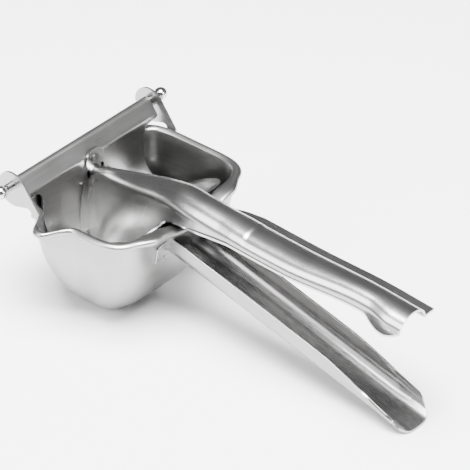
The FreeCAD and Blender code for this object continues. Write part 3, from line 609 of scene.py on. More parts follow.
@dataclass
class Bowl:
    """Drawn bowl with its rolled rim, flattened at the front, and a pouring lip on one side."""

    sizes: PressSizes
    flat_length: float = 20.0
    flat_width: float = 36.0
    around: int = 360
    wall_rings: int = 44
    bead_rings: int = 26
    bead_start: float = -125.0
    floor_crowding: float = 1.9
    spout_reach: float = 13.5
    spout_half_width: float = 8.0
    spout_from_back: float = 27.0
    spout_fade: float = 1.6
    dip_reach: float = 19.0
    band_flat: float = 26.0
    band_end: float = 38.0

    def shape(self, level: float) -> tuple[float, float, float, float]:
        """Outline of the outer face at a share of its depth.

        Args:
            level: 0 at the floor, 1 at the rim.

        Returns:
            Its front, back, half width and squareness.
        """
        def bulge(power: float, root: float) -> float:
            """Profile of the drawn wall."""
            return (1 - (1 - level) ** power) ** root

        half = self.flat_length / 2
        reach = self.sizes.mouth_x + self.sizes.wall - half
        side = self.flat_width / 2
        return (half + reach * bulge(2.0, 0.8), half + reach * bulge(2.2, 0.36),
                side + (self.sizes.mouth_y + self.sizes.wall - side) * bulge(2.2, 0.42),
                3.0 + 2.0 * bulge(1.5, 0.6))

    def front_wall(self, y: Array, z: Array) -> Array:
        """Finds the outer face of the front.

        Args:
            y: Places across.
            z: Heights.

        Returns:
            Where it lies along X, in the shape of y.
        """
        top = self.sizes.rim_z - self.sizes.bead_height
        found = []
        for across, height in zip(np.ravel(y), np.ravel(z)):
            front, back, half_width, power = self.shape(min(1.0, height / top))
            half = (front + back) / 2
            found.append((front - back) / 2 + half * (1 - abs(across / half_width) ** power) ** (1 / power))
        return np.reshape(found, np.shape(y))

    def outline(self, level: float, outward: float) -> Array:
        """One closed outline.

        Args:
            level: Share of the depth that it lies at.
            outward: How far it's moved outwards.

        Returns:
            Its points (x, y).
        """
        front, back, half_width, power = self.shape(level)
        half = (front + back) / 2 + outward
        angle = np.linspace(0, 2 * math.pi, self.around * 12, endpoint=False)
        cosine, sine = np.cos(angle), np.sin(angle)
        x = (front - back) / 2 + half * np.sign(cosine) * np.abs(cosine) ** (2 / power)
        y = (half_width + outward) * np.sign(sine) * np.abs(sine) ** (2 / power)
        offset = np.abs(x + self.sizes.mouth_x - self.spout_from_back) / self.spout_half_width
        y = np.where(y < 0, y - self.spout_reach * np.exp(-offset ** 3) * level ** self.spout_fade, y)
        return respace(np.stack([x, y], axis=1), self.around, closed=True)

    def front_share(self, x: Array, y: Array) -> Array:
        """0 along the sides and the back of the rim, 1 along the flattened front."""
        mouth = self.sizes.mouth_x
        return ease(x, mouth * 0.7, mouth * 0.97) * (1 - ease(np.abs(y), self.band_flat, self.band_end))

    def rim_drop(self, x: Array, y: Array) -> Array:
        """How far the rim lies below its own level."""
        return self.sizes.dip * self.front_share(x, y) * np.exp(-(y / self.dip_reach) ** 4)

    def wall_ring(self, level: float, outward: float, height: float) -> Array:
        """A ring of the wall; near the rim it follows the dip in the front.

        Args:
            level: Share of the depth whose outline it has.
            outward: How far it's moved outwards.
            height: Height that it lies at.

        Returns:
            Its points.
        """
        plane = self.outline(level, outward)
        follow = ease(height, self.sizes.rim_z * 0.6, self.sizes.rim_z)
        z = height - follow * self.rim_drop(plane[:, 0], plane[:, 1])
        return np.column_stack([plane, z])

    def rim_bead(self) -> list[Array]:
        """Rings round the rolled rim, from under it, over its top, to the inner wall."""
        wall = self.sizes.wall
        inner = self.outline(1.0, -wall)
        side = self.outline(1.0, self.sizes.bead - wall)
        band = self.outline(1.0, self.sizes.band - wall)
        front = self.front_share(inner[:, 0], inner[:, 1])[:, None]
        outer = np.column_stack([side[:, :1] + front * (band[:, :1] - side[:, :1]), side[:, 1:]])
        drop = self.rim_drop(inner[:, 0], inner[:, 1])
        rings = []
        for step in range(self.bead_rings + 1):
            turn = math.radians(self.bead_start + (180 - self.bead_start) * step / self.bead_rings)
            power = 2.0 + 1.6 * front[:, 0]
            share = 0.5 + 0.5 * np.sign(math.cos(turn)) * abs(math.cos(turn)) ** (2 / power)
            rise = np.sign(math.sin(turn)) * abs(math.sin(turn)) ** (2 / power)
            z = self.sizes.rim_z - self.sizes.bead_height * (0.5 - 0.5 * rise) - drop
            rings.append(np.column_stack([inner + share[:, None] * (outer - inner), z]))
        return rings

    def build(self) -> bpy.types.Object:
        """Makes the bowl and lets it stand for its node."""
        top = self.sizes.rim_z - self.sizes.bead_height
        wall = self.sizes.wall
        levels = (np.linspace(0.0, 1.0, self.wall_rings) ** self.floor_crowding)[:-1]
        outside = [self.wall_ring(level, 0.0, level * top) for level in levels]
        inside = [self.wall_ring(level, -wall * (0.4 + 0.6 * float(ease(level, 0.0, 0.15))),
                                 wall + level * (top - wall)) for level in reversed(levels)]
        floor = [ring * [share, share, 1.0] for ring, share in ((outside[0], 0.4), (outside[0], 0.8))]
        cover = [ring * [share, share, 1.0] for ring, share in ((inside[-1], 0.8), (inside[-1], 0.4))]
        rings = floor + outside + self.rim_bead() + inside + cover
        # the inside rings and the inner cover get mark -1, so their colour carries painted shade
        painted_shade_rings = len(inside) + len(cover)
        maker = MeshMaker()
        maker.add_rings(rings, [0.0] * (len(rings) - painted_shade_rings) + [-1.0] * painted_shade_rings)
        piece = maker.finish("bowl_shell", BOWL_FINISH)
        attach(piece, "bowl")
        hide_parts("bowl")
        return piece


# pressing plate

@dataclass
class PressingPlate:
    """Sheet rolled round the rod, bent down as a strip and an upright, and dished at its foot."""

    sizes: PressSizes
    half_strip: float = 50.3
    half_plate: float = 39.0
    rod_radius: float = 2.3
    rod_gap: float = 0.08
    strip_drop: float = 6.6
    bend: float = 4.2
    notch: float = 7.0
    corner: float = 2.0
    front_corner: float = 8.0
    fold: float = 1.6
    columns: int = 121
    flat_rows: int = 90
    dish_rows: int = 64

    def top_path(self) -> Array:
        """Side view (x, z) of the outer face from the barrel's seam to the foot of the upright."""
        s = self.sizes
        radius = self.rod_radius + self.rod_gap + s.sheet
        lean = math.atan2(-self.bend, s.setout) + math.acos(radius / math.hypot(self.bend, s.setout))
        turns = np.linspace(lean + 5.4, lean, 60)
        barrel = np.stack([s.rod_x + radius * np.cos(turns), s.rod_z + radius * np.sin(turns)], axis=1)
        turn = (radius - s.setout * math.cos(lean)) / math.sin(lean)
        below = np.array([[s.rod_x + s.setout, s.rod_z + turn], [s.rod_x + s.setout, s.rod_z - s.upright]])
        flat = soften(respace(np.vstack([barrel[-1:], below]), self.flat_rows), self.fold)
        return np.vstack([barrel[:-1], flat])

    def dish_paths(self) -> tuple[Array, Array]:
        """Side views (x, z) of the dish along its middle and along its side."""
        s = self.sizes
        radius = s.swing - s.sheet
        start = np.array([s.rod_x + s.setout, s.rod_z - s.upright])
        swing = [s.swing_point(radius, angle) for angle in (62.0, 50.0, 38.0, 26.0, DISH_END)]
        middle = spline([start, start + [1.6, -14.0], start + [8.5, -29.0], *swing], (0, -1), (0.2, 1),
                        self.dish_rows)
        side = spline([start, start + [2.6, -9.5], [s.rod_x + 19.0, s.rod_z - 38.0],
                       [s.rod_x + 42.0, s.rod_z - 26.5], swing[-1]], (0, -1), (1, 0.1), self.dish_rows)
        return middle, side

    def half_width(self, z: float) -> float:
        """Half the width of the strip and the upright at a height."""
        drop = self.sizes.rod_z - z
        if drop < self.strip_drop - self.corner:
            return self.half_strip
        if drop < self.strip_drop:
            into = drop - self.strip_drop + self.corner
            return self.half_strip - self.corner + math.sqrt(max(0.0, self.corner ** 2 - into ** 2))
        if drop < self.strip_drop + self.notch:
            into = self.strip_drop + self.notch - drop
            return self.half_plate + self.notch - math.sqrt(max(0.0, self.notch ** 2 - into ** 2))
        return self.half_plate

    def face(self) -> Array:
        """Grid of points on the face that looks towards the handles."""
        across = np.linspace(-1, 1, self.columns)
        rows = []
        top = self.top_path()
        turns = ((self.strip_drop - self.corner, (0.3, 0.8, 1.3, 1.7, 1.9)),
                 (self.strip_drop, (0.001, 0.15, 0.5, 1.2, 2.2)))
        extra = [self.sizes.rod_z - drop - step for drop, steps in turns for step in steps]
        start = len(top) - self.flat_rows
        low_part = top[start:]
        heights = np.unique(np.concatenate([low_part[:, 1], extra]))[::-1]
        x = np.interp(-heights, -low_part[:, 1], low_part[:, 0])
        top = np.vstack([top[:start], np.stack([x, heights], axis=1)])
        for index, (x_here, z_here) in enumerate(top):
            half = self.half_width(z_here) if index >= start else self.half_strip
            rows.append(np.array([(x_here, over * half, z_here) for over in across]))
        middle, side = self.dish_paths()
        raised = ease(np.abs(across), 0.45, 1.0)
        lengths = lengths_along(middle)
        for (mx, mz), (sx, sz), run in zip(middle[1:], side[1:], lengths[1:]):
            to_edge = lengths[-1] - run
            into = max(0.0, self.front_corner - to_edge)
            half = self.half_plate - self.front_corner + math.sqrt(self.front_corner ** 2 - into ** 2)
            rows.append(np.stack([mx + raised * (sx - mx), across * half, mz + raised * (sz - mz)], axis=1))
        return np.array(rows)

    def build(self) -> bpy.types.Object:
        """Makes the plate and lets it stand for its node."""
        maker = MeshMaker()
        face = self.face()
        maker.add_pair(face, self.back(face))
        piece = maker.finish("pressing_plate", PLATE_FINISH, BROKEN_EDGE)
        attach(piece, "press")
        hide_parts("press_plate")
        return piece

    def back(self, face: Array) -> Array:
        """The other face, one sheet thickness behind."""
        normals = grid_normals(face)
        on_strip = self.flat_rows - 10
        sign = 1.0 if normals[on_strip, self.columns // 2, 0] > 0 else -1.0
        return face - sign * self.sizes.sheet * normals


# upper handle

@dataclass
class UpperHandle:
    """Arched handle: deep side walls welded in the dish, then a grip with a wide lip and a flared end."""

    sizes: PressSizes
    plate: PressingPlate
    sheet: float = 1.2
    root_width: float = 10.0
    crown_width: float = 21.0
    crown_height: float = 8.5
    crown_offset: float = -3.0
    crown_drop: float = 11.4
    spread: float = 0.2
    grip_drop: float = 7.2
    grip_fall: float = 4.6
    crown_rise: float = 4.6
    far_lip: float = 8.0
    near_lip: float = 2.0
    near_lobe: float = 6.5
    hem: float = 0.8
    waist: float = 0.25
    end_corner: float = 9.0
    tongue_radius: float = 6.4
    tongue_drop: float = 6.6
    inside_share: float = 0.3
    inside_drop: float = 1.5
    grip_start: float = 32.0
    arch_end: float = 40.0
    arch_steps: int = 40
    seat: float = 0.1
    edge_gap: float = 0.6
    rim_clearance: float = 2.4
    fold: float = 0.9
    rows: int = 230
    root_rows: int = 90
    root_reach: float = 11.0
    columns: int = 111

    def dish_line(self) -> Array:
        """Middle line (x, z) of the dish, where it runs forwards."""
        middle = self.plate.dish_paths()[0]
        return middle[np.concatenate([[True], np.diff(middle[:, 0]) > 0.01])]

    def dish_front(self) -> float:
        """Place of the dish's front."""
        return float(self.sizes.swing_point(self.sizes.swing - self.sizes.sheet, DISH_END)[0])

    def floor_at(self, x: float) -> float:
        """Height of the dish under the handle's walls at a place."""
        path = self.dish_line()
        z = float(np.interp(x, path[:, 0], path[:, 1]))
        rise = float(np.interp(x + 0.5, path[:, 0], path[:, 1])) - z
        return z + self.seat * math.hypot(1, rise / 0.5)

    def guides(self) -> dict[str, Curve]:
        """Smooth heights and widths along the handle."""
        s = self.sizes
        root = s.rod_x + s.setout + self.sheet
        over = s.mouth_x + s.band
        end = s.grip_end
        inside = s.mouth_x * self.inside_share
        edge = self.dish_front() - self.edge_gap
        rim = s.rim_z - s.dip + self.rim_clearance
        grip = s.rod_z - self.grip_drop
        narrow = self.root_width / 2 - self.sheet
        wide = self.crown_width / 2 - self.sheet
        return {
            "grip": guide([(over + self.grip_start, grip), (end - 70, grip - 0.4 * self.grip_fall),
                           (end - 30, grip - 0.5 * self.grip_fall), (end, grip - self.grip_fall)]),
            "crown": guide([(root, s.rod_z - self.crown_drop), (inside, s.rod_z - self.inside_drop),
                            (s.mouth_x, s.rod_z + self.crown_rise), (over + 4, s.rod_z + self.crown_rise),
                            (over + self.arch_end, grip + self.crown_height)]),
            "radius": guide([(root, narrow), (over, wide), (end, wide)]),
            "base": guide([(edge, self.floor_at(edge)), (edge + 2.2, rim - 3.0), (over - 3, rim + 1.0),
                           (over + self.grip_start, grip)]),
            "arch": guide([(root, narrow), (over, self.crown_height), (end, self.crown_height)]),
        }

    def section(self, x: float, ways: dict[str, Curve], floor: Curve) -> Array:
        """Line (y, z) across the underside at a place, from the -Y lip over the crown to the +Y lip."""
        s = self.sizes
        over = s.mouth_x + s.band
        end = s.grip_end
        edge = self.dish_front() - self.edge_gap
        grip = ways["grip"](x)
        crown = (ways["crown"](x) if x < over + self.arch_end else grip + self.crown_height) - self.sheet
        radius = ways["radius"](x)
        if x < edge:
            base = floor(x)
        else:
            base = ways["base"](x) if x < over + self.grip_start else grip
        arch = min(ways["arch"](x), crown - base - self.hem)
        wall = crown - arch - base
        shift = self.crown_offset * float(ease(x, s.mouth_x * self.inside_share, over + 10))
        narrow = 1 - self.waist * float(ease(x, end - 75, end - 28)) * (1 - float(ease(x, end - 24, end - 8)))
        near = self.hem + (self.near_lip - self.hem) * float(ease(x, over - 4, over + 14))
        near += (self.near_lobe - self.near_lip) * float(ease(x, end - 26, end - 8))
        far = self.hem + (self.far_lip - self.hem) * float(ease(x, over - 6, over + 24))
        foot = radius + self.spread * wall
        line = [(shift - narrow * foot - near, base), (shift - narrow * foot, base),
                (shift - narrow * radius, crown - arch)]
        for step in range(1, self.arch_steps):
            turn = math.pi * (1 - step / self.arch_steps)
            side = narrow if turn > math.pi / 2 else 1.0
            line.append((shift + side * radius * math.cos(turn), crown - arch + arch * math.sin(turn)))
        line += [(shift + radius, crown - arch), (shift + foot, base), (shift + foot + far, base)]
        return soften(respace(np.array(line), self.columns), self.fold)

    def underside(self) -> Array:
        """Grid of points on the underside of the handle, its end cut to shape."""
        s = self.sizes
        ways = self.guides()
        path = self.dish_line()
        slope = np.gradient(path[:, 1], path[:, 0])

        def floor(x: float) -> float:
            """Height of the dish under the walls."""
            lean = float(np.interp(x, path[:, 0], slope))
            return float(np.interp(x, path[:, 0], path[:, 1])) + self.seat * math.hypot(1, lean)

        root = s.rod_x + s.setout + self.sheet
        front = self.dish_front() + self.root_reach
        first = root + (front - root) * np.linspace(0, 1, self.root_rows) ** 1.4
        places = np.concatenate([first, np.linspace(front, s.grip_end, self.rows - self.root_rows + 1)[1:]])
        lines = np.array([self.section(float(x), ways, floor) for x in places])
        grid = np.concatenate([np.repeat(places[:, None, None], self.columns, axis=1), lines], axis=2)
        return self.cut_end(grid, places)

    def cut_end(self, grid: Array, places: Array) -> Array:
        """Draws the last rows back so that the end is square with one rounded corner."""
        end = self.sizes.grip_end
        tail = end - 3 * self.end_corner
        low = self.crown_offset + self.sheet - self.crown_width / 2 - self.near_lobe - self.hem
        share = np.clip((places - tail) / (end - tail), 0, None)[:, None]
        into = np.clip((low + self.end_corner - grid[:, :, 1]) / self.end_corner, 0, 1)
        reach = end - self.end_corner * (1 - np.sqrt(1 - into ** 2))
        new = np.minimum(places[:, None], tail) + (reach - tail) * share
        cut = grid.copy()
        cut[:, :, 0] = new
        for j in range(grid.shape[1]):
            for axis in (1, 2):
                cut[:, j, axis] = np.interp(new[:, j], places, grid[:, j, axis])
        return cut

    def build(self) -> bpy.types.Object:
        """Makes the handle with its tongue and flanges, and lets it stand for its node."""
        maker = MeshMaker()
        under = self.underside()
        maker.add_pair(under, under + grid_normals(under) * self.sheet)
        for side in (-1, 1):
            self.add_flange(maker, side)
        self.add_tongue(maker)
        piece = maker.finish("upper_handle_pressing", GRIP_FINISH, BROKEN_EDGE)
        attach(piece, "press")
        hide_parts("upper_handle")
        return piece

    def add_flange(self, maker: MeshMaker, side: int) -> None:
        """Adds the flange that lies on the plate beside one wall, widening downwards."""
        s = self.sizes
        middle = self.plate.dish_paths()[0]
        straight = np.stack([np.full(30, s.rod_x + s.setout),
                             np.linspace(s.rod_z - self.crown_drop, s.rod_z - s.upright, 30)], axis=1)
        falling = middle[:np.argmax(middle[:, 1] < s.rod_z - 44.0)]
        path = respace(np.vstack([straight[:-1], falling]), 60)
        inner = self.root_width / 2 - 0.6
        share = (path[:, 1] - path[0, 1]) / (path[-1, 1] - path[0, 1])
        outer = inner + 1.6 + 10.5 * share ** 0.9
        shares = np.linspace(0, 1, 16)
        y = side * (inner + (outer - inner)[:, None] * shares)
        x, z = (np.repeat(path[:, k:k + 1], len(shares), axis=1) for k in (0, 1))
        grid = np.stack([x, y, z], axis=2)
        normals = front_normals(grid)
        maker.add_pair(grid + normals * 0.05, grid + normals * self.sheet)

    def add_tongue(self, maker: MeshMaker) -> None:
        """Adds the rounded tongue that stands up the plate above the crown."""
        s = self.sizes
        face = s.rod_x + s.setout
        top = s.rod_z - self.tongue_drop
        low = s.rod_z - self.crown_drop - self.root_width / 2
        across = np.linspace(-1, 1, 25)
        rows = [(low + (top - low) * t, self.tongue_radius) for t in np.linspace(0, 1, 10)]
        for turn in np.linspace(0, math.pi / 2, 16)[1:-1]:
            rows.append((top + self.tongue_radius * math.sin(turn), self.tongue_radius * math.cos(turn)))
        rows.append((top + self.tongue_radius * 0.999, 0.5))
        grid = np.array([[(face, over * half, place) for over in across] for place, half in rows])
        maker.add_pair(grid + [0.02, 0, 0], grid + [self.sheet, 0, 0])


# lower handle

@dataclass
class LowerHandle:
    """Open channel that grows out of the bowl's front, with welded flanges and a scooped end."""

    sizes: PressSizes
    bowl: Bowl
    sheet: float = 1.2
    width: float = 26.0
    height: float = 14.0
    corner: float = 8.0
    drop: float = 21.0
    flare: float = 1.0
    scoop: float = 22.0
    fall: float = 55.0
    end_height: float = 6.5
    foot: float = 0.3
    root_sink: float = 0.4
    flange_width: float = 11.0
    flange_height: float = 13.6
    taper: float = 2.2
    rows: int = 170
    columns: int = 91

    def section(self, x: float) -> Array:
        """Line (y, z) across the outer face at a place."""
        s = self.sizes
        first = s.rod_z - self.drop - self.height
        floor = first + (self.foot - first) * (x - s.mouth_x) / (s.channel_end - s.mouth_x)
        down = float(ease(x, s.channel_end - self.fall, s.channel_end))
        height = self.height + (self.end_height - self.height) * down
        half = self.width / 2
        flare = self.flare * down
        corner = min(self.corner, height - 0.8)
        right = [(half + flare, floor + height)]
        for step in range(21):
            turn = math.pi / 2 * step / 20
            right.append((half - self.corner + self.corner * math.cos(turn), floor + corner * (1 - math.sin(turn))))
        line = [(-y, z) for y, z in right] + right[::-1]
        return respace(np.array(line), self.columns)

    def outside(self) -> Array:
        """Grid of points on the outer face, from the bowl's wall to the scooped end."""
        s = self.sizes
        places = np.linspace(s.mouth_x - 6, s.channel_end, self.rows * 2)
        lines = np.array([self.section(float(x)) for x in places])
        grid = np.concatenate([np.repeat(places[:, None, None], self.columns, axis=1), lines], axis=2)
        half = self.width / 2 + self.flare + 0.8
        made = np.zeros((self.rows, self.columns, 3))
        share = np.linspace(0, 1, self.rows)
        for j in range(self.columns):
            y_end = float(np.interp(s.channel_end - 5, places, grid[:, j, 1]))
            begin = s.mouth_x
            for _ in range(6):
                y = np.interp(begin, places, grid[:, j, 1])
                z = np.interp(begin, places, grid[:, j, 2])
                begin = float(self.bowl.front_wall(np.array([y]), np.array([z]))[0]) - self.root_sink
            stop = s.channel_end - self.scoop * (1 - (1 - abs(y_end / half) ** 3) ** (1 / 3))
            x = begin + (stop - begin) * share
            made[:, j, 0] = x
            for axis in (1, 2):
                made[:, j, axis] = np.interp(x, places, grid[:, j, axis])
        return made

    def build(self) -> bpy.types.Object:
        """Makes the channel with its flanges, and lets it stand for its node."""
        maker = MeshMaker()
        outside = self.outside()
        maker.add_pair(outside, outside + grid_normals(outside) * self.sheet)
        for side in (-1, 1):
            self.add_flange(maker, side)
        piece = maker.finish("lower_handle_channel", CHANNEL_FINISH, BROKEN_EDGE)
        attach(piece, "bowl")
        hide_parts("lower_handle")
        return piece

    def flange_point(self, side: int, over: float, up: float) -> Array:
        """A point on the bowl's wall under a flange.

        Args:
            side: -1 or 1.
            over: Share of the flange's width.
            up: Share of its height.

        Returns:
            The point.
        """
        top = self.sizes.rod_z - self.drop
        y = side * ((self.width - self.sheet) / 2 + self.flange_width * over)
        low = top - self.flange_height + self.taper * over ** 3
        z = low + (top - self.taper * over ** 3 - low) * up
        return np.array([float(self.bowl.front_wall(np.array([y]), np.array([z]))[0]), y, z])

    def add_flange(self, maker: MeshMaker, side: int) -> None:
        """Adds one flange, pressed to the bowl's wall."""
        shares = np.linspace(0, 1, 24)
        grid = np.array([[self.flange_point(side, over, up) for up in shares] for over in shares])
        normals = front_normals(grid)
        maker.add_pair(grid - normals * 0.05, grid + normals * self.sheet)

    def weld_places(self) -> list[tuple[Array, Array]]:
        """Place and outward direction of each plug weld."""
        found = []
        for side in (-1, 1):
            for up in (0.28, 0.67):
                at = self.flange_point(side, 0.45, up)
                near = self.flange_point(side, 0.47, up) - at
                over = self.flange_point(side, 0.45, up + 0.02) - at
                normal = np.cross(near, over)
                normal /= np.linalg.norm(normal)
                normal *= 1 if normal[0] > 0 else -1
                found.append((at + normal * self.sheet, normal))
        return found


# small parts

@dataclass
class HingeRod:
    """Polished rod with a ball turned on one end and a ball nut on the other."""

    sizes: PressSizes
    radius: float = 2.3
    ball: float = 3.7
    ball_cut: float = 0.5
    neck: float = 0.15
    chamfer: float = 0.4
    bore: float = 1.2

    def build(self) -> list[bpy.types.Object]:
        """Makes the rod and the nut, and lets them stand for their nodes."""
        high = box_mm("hinge_rod")[1]
        nut_low, nut_high = box_mm("ball_nut")
        made = []
        centre = (self.sizes.rod_x, 0.0, self.sizes.rod_z)
        for name, node, profile in (
                ("hinge_rod_turned", "hinge_rod", self.rod_profile(-nut_low.y, high.y)),
                ("ball_nut_turned", "ball_nut", self.ball_profile(nut_low.y, nut_high.y))):
            maker = MeshMaker()
            maker.add_lathe(profile, centre)
            piece = maker.finish(name, ROD_FINISH)
            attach(piece, "rod")
            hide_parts(node)
            made.append(piece)
        return made

    def ball_profile(self, start: float, end: float) -> list[tuple[float, float]]:
        """Profile of a ball that is cut flat at its start."""
        middle = end - self.ball
        first = math.asin(max(-1.0, (start - middle) / self.ball))
        turns = np.linspace(first, math.pi / 2, 22)[:-1]
        return [(self.bore, start)] + [(self.ball * math.cos(t), middle + self.ball * math.sin(t)) for t in turns]

    def rod_profile(self, shoulder: float, end: float) -> list[tuple[float, float]]:
        """Profile of the rod, its ball first."""
        ball = [(radius, -place) for radius, place in
                self.ball_profile(-shoulder, -shoulder + 2 * self.ball - self.ball_cut)][::-1]
        return ball[:-1] + [(self.radius, shoulder + self.neck), (self.radius, 0.0),
                            (self.radius, end - self.chamfer), (self.radius - self.chamfer, end)]


@dataclass
class WeldMarks:
    """Plug welds as low burnt buttons, set out on points by a node tree."""

    name: str
    body: str
    node: str
    radius: float = 0.9
    height: float = 0.25
    seed: float = 0.02

    def tree(self) -> bpy.types.NodeTree:
        """Builds the node tree that sets a button on each face.

        Returns:
            The tree, with inputs for the button's radius, height and finish.
        """
        tree = bpy.data.node_groups.new(self.name + "_buttons", "GeometryNodeTree")
        for label, way, kind in (("Geometry", "INPUT", "Geometry"), ("Radius", "INPUT", "Float"),
                                 ("Height", "INPUT", "Float"), ("Finish", "INPUT", "Material"),
                                 ("Geometry", "OUTPUT", "Geometry")):
            tree.interface.new_socket(label, in_out=way, socket_type="NodeSocket" + kind)
        kinds = {"entry": "NodeGroupInput", "leave": "NodeGroupOutput", "button": "GeometryNodeMeshUVSphere",
                 "size": "ShaderNodeCombineXYZ", "facing": "GeometryNodeInputNormal",
                 "keep": "GeometryNodeCaptureAttribute", "points": "GeometryNodeMeshToPoints",
                 "turn": "FunctionNodeAlignRotationToVector", "stud": "GeometryNodeInstanceOnPoints",
                 "real": "GeometryNodeRealizeInstances", "smooth": "GeometryNodeSetShadeSmooth",
                 "paint": "GeometryNodeSetMaterial"}
        nodes = {name: tree.nodes.new(kind) for name, kind in kinds.items()}
        for label, value in (("Segments", 20), ("Rings", 10), ("Radius", 1.0)):
            nodes["button"].inputs[label].default_value = value
        nodes["turn"].axis = "Z"
        nodes["points"].mode = "FACES"
        nodes["keep"].domain = "FACE"
        nodes["keep"].capture_items.new("VECTOR", "Facing")
        for start, output, end, entrance in (
                ("entry", "Radius", "size", "X"), ("entry", "Radius", "size", "Y"),
                ("entry", "Height", "size", "Z"),
                ("entry", "Geometry", "keep", "Geometry"), ("facing", "Normal", "keep", "Facing"),
                ("keep", "Geometry", "points", "Mesh"), ("keep", "Facing", "turn", "Vector"),
                ("points", "Points", "stud", "Points"), ("button", "Mesh", "stud", "Instance"),
                ("turn", "Rotation", "stud", "Rotation"), ("size", "Vector", "stud", "Scale"),
                ("stud", "Instances", "real", "Geometry"), ("real", "Geometry", "smooth", "Geometry"),
                ("smooth", "Geometry", "paint", "Geometry"), ("entry", "Finish", "paint", "Material"),
                ("paint", "Geometry", "leave", "Geometry")):
            tree.links.new(nodes[start].outputs[output], nodes[end].inputs[entrance])
        return tree

    def build(self, places: Sequence[tuple[Array, Array]]) -> bpy.types.Object:
        """Makes the buttons.

        Args:
            places: Place and outward direction of each, in millimetres.

        Returns:
            One plain mesh with all the buttons.
        """
        tree = self.tree()
        seeds = bpy.data.meshes.new(self.name + "_seeds")
        corners = []
        for at, normal in places:
            side = np.cross(normal, (0, 0, 1.0))
            side /= np.linalg.norm(side)
            up = np.cross(side, normal)
            for turn in (90, 210, 330):
                angle = math.radians(turn)
                corners.append((at + self.seed * (side * math.cos(angle) + up * math.sin(angle))) * MM)
        faces = [(first, first + 1, first + 2) for first in range(0, len(corners), 3)]
        seeds.from_pydata([tuple(corner) for corner in corners], [], faces)
        holder = put(self.name + "_holder", seeds)
        modifier = holder.modifiers.new("buttons", "NODES")
        modifier.node_group = tree
        sockets = {item.name: item.identifier for item in tree.interface.items_tree if item.in_out == "INPUT"}
        modifier[sockets["Radius"]] = self.radius * MM
        modifier[sockets["Height"]] = self.height * MM
        modifier[sockets["Finish"]] = WELD_FINISH.material()
        graph = bpy.context.evaluated_depsgraph_get()
        mesh = bpy.data.meshes.new_from_object(holder.evaluated_get(graph))
        bpy.data.objects.remove(holder)
        piece = put(self.name, mesh)
        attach(piece, self.body)
        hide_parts(self.node)
        return piece


# studio

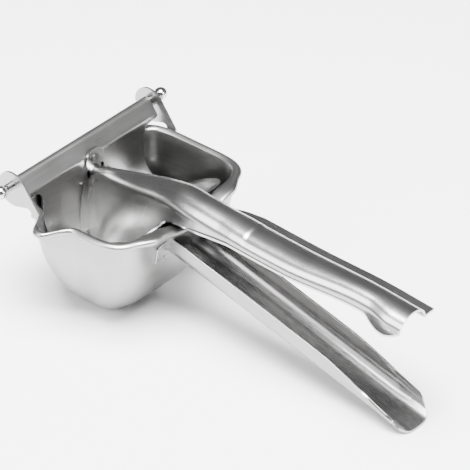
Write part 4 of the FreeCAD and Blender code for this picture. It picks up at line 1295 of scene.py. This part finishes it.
@dataclass
class Studio:
    """Pale floor, soft lights and the camera.

    Attributes:
        sizes: Shared sizes.
        azimuth: Turn of the view about Z, in degrees.
        elevation: Height of the view, in degrees.
        distance: From the rod's middle, in millimetres.
        focal: Focal length, in steps of which the view's side has 470.
        side: Side of the view, in those steps.
        rod_at: Where the rod's middle appears, right and down from the corner.
    """

    sizes: PressSizes
    azimuth: float = 43.80
    elevation: float = 33.47
    distance: float = 1600.0
    focal: float = 3056.0
    side: float = 470.0
    rod_at: tuple[float, float] = (85.95, 136.79)

    def axes(self) -> tuple[Vector, Vector, Vector]:
        """Right, up and back of the view."""
        a, e = math.radians(self.azimuth), math.radians(self.elevation)
        back = Vector((math.sin(a) * math.cos(e), -math.cos(a) * math.cos(e), math.sin(e)))
        right = Vector((math.cos(a), math.sin(a), 0.0))
        return right, back.cross(right), back

    def camera(self) -> None:
        """Sets the camera, aimed so that the rod's middle appears at its place in the view."""
        right, up, back = self.axes()
        data = bpy.data.cameras.new("camera")
        data.sensor_width = 36.0
        data.lens = self.focal / self.side * data.sensor_width
        data.clip_start, data.clip_end = 0.1, 20.0
        shape = put("camera", data)
        anchor = Vector((self.sizes.rod_x, 0.0, self.sizes.rod_z)) * MM
        shape.location = anchor + back * self.distance * MM
        half = self.side / 2
        over, down = ((half - at) / self.focal for at in self.rod_at)
        look = -back + right * over - up * down
        look.normalize()
        across = look.cross(Vector((0, 0, 1))).normalized()
        turn = Matrix((across, across.cross(look), -look)).transposed()
        shape.rotation_mode = "QUATERNION"
        shape.rotation_quaternion = turn.to_quaternion()
        bpy.context.scene.camera = shape

    def softbox(self, name: str, place: Sequence[float], aim: Sequence[float], size: tuple[float, float],
                power: float) -> None:
        """Adds a rectangular light.

        Args:
            name: Its name.
            place: Where it stands, in metres.
            aim: What it faces.
            size: Its sides, in metres.
            power: Its power, in watts.
        """
        data = bpy.data.lights.new(name, "AREA")
        data.shape = "RECTANGLE"
        data.size, data.size_y = size
        data.energy = power
        light = put(name, data)
        light.location = place
        light.rotation_mode = "QUATERNION"
        light.rotation_quaternion = (Vector(place) - Vector(aim)).to_track_quat("Z", "Y")

    def floor(self) -> None:
        """Adds the pale floor."""
        mesh = bpy.data.meshes.new("floor")
        corners = [(x * FLOOR_EDGE, y * FLOOR_EDGE, 0) for x, y in ((-1, -1), (1, -1), (1, 1), (-1, 1))]
        mesh.from_pydata(corners, [], [(0, 1, 2, 3)])
        shader = Shader("floor_paper")
        place = shader.node("ShaderNodeTexCoord", output="Object")
        drift = shader.noise(place, (3.0, 3.0, 3.0), 2.0)
        rough = drift * 0.1 + 0.75
        paper = shader.node("ShaderNodeBsdfPrincipled", {}, {"Base Color": FLOOR_TONE, "Roughness": rough})
        shader.node("ShaderNodeOutputMaterial", {}, {"Surface": paper})
        mesh.materials.append(shader.material)
        put("floor", mesh)

    def build(self) -> None:
        """Sets up floor, lights, surroundings and camera."""
        self.floor()
        world = bpy.data.worlds.new("studio")
        bpy.context.scene.world = world
        world.use_nodes = True
        background = world.node_tree.nodes["Background"]
        background.inputs["Color"].default_value = (1.0, 1.0, 1.0, 1.0)
        background.inputs["Strength"].default_value = WORLD_STRENGTH
        for name, place, size, power in LIGHTS:
            self.softbox(name, place, LIGHT_AIM, size, power)
        self.camera()


# assembly

def dress_nodes() -> None:
    """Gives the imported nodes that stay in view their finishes."""
    for name, finish in (("ear_left", EAR_FINISH), ("ear_right", EAR_FINISH), ("tongue_rivet", WELD_FINISH),
                         ("upper_handle_welds", WELD_FINISH), ("lower_handle_welds", WELD_FINISH)):
        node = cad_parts[name]
        node.data.materials.clear()
        node.data.materials.append(finish.material())


def main() -> None:
    """Builds the press and its studio."""
    logging.basicConfig(level=logging.INFO, format="%(name)s: %(message)s")
    sizes = PressSizes.from_frame()
    dress_nodes()
    bowl = Bowl(sizes)
    plate = PressingPlate(sizes)
    upper = UpperHandle(sizes, plate)
    lower = LowerHandle(sizes, bowl)
    pieces = [bowl.build(), plate.build(), upper.build(), lower.build(), *HingeRod(sizes).build()]
    pieces.append(WeldMarks("flange_weld_buttons", "bowl", "lower_handle_welds").build(lower.weld_places()))
    Studio(sizes).build()


if __name__ == "__main__":
    main()
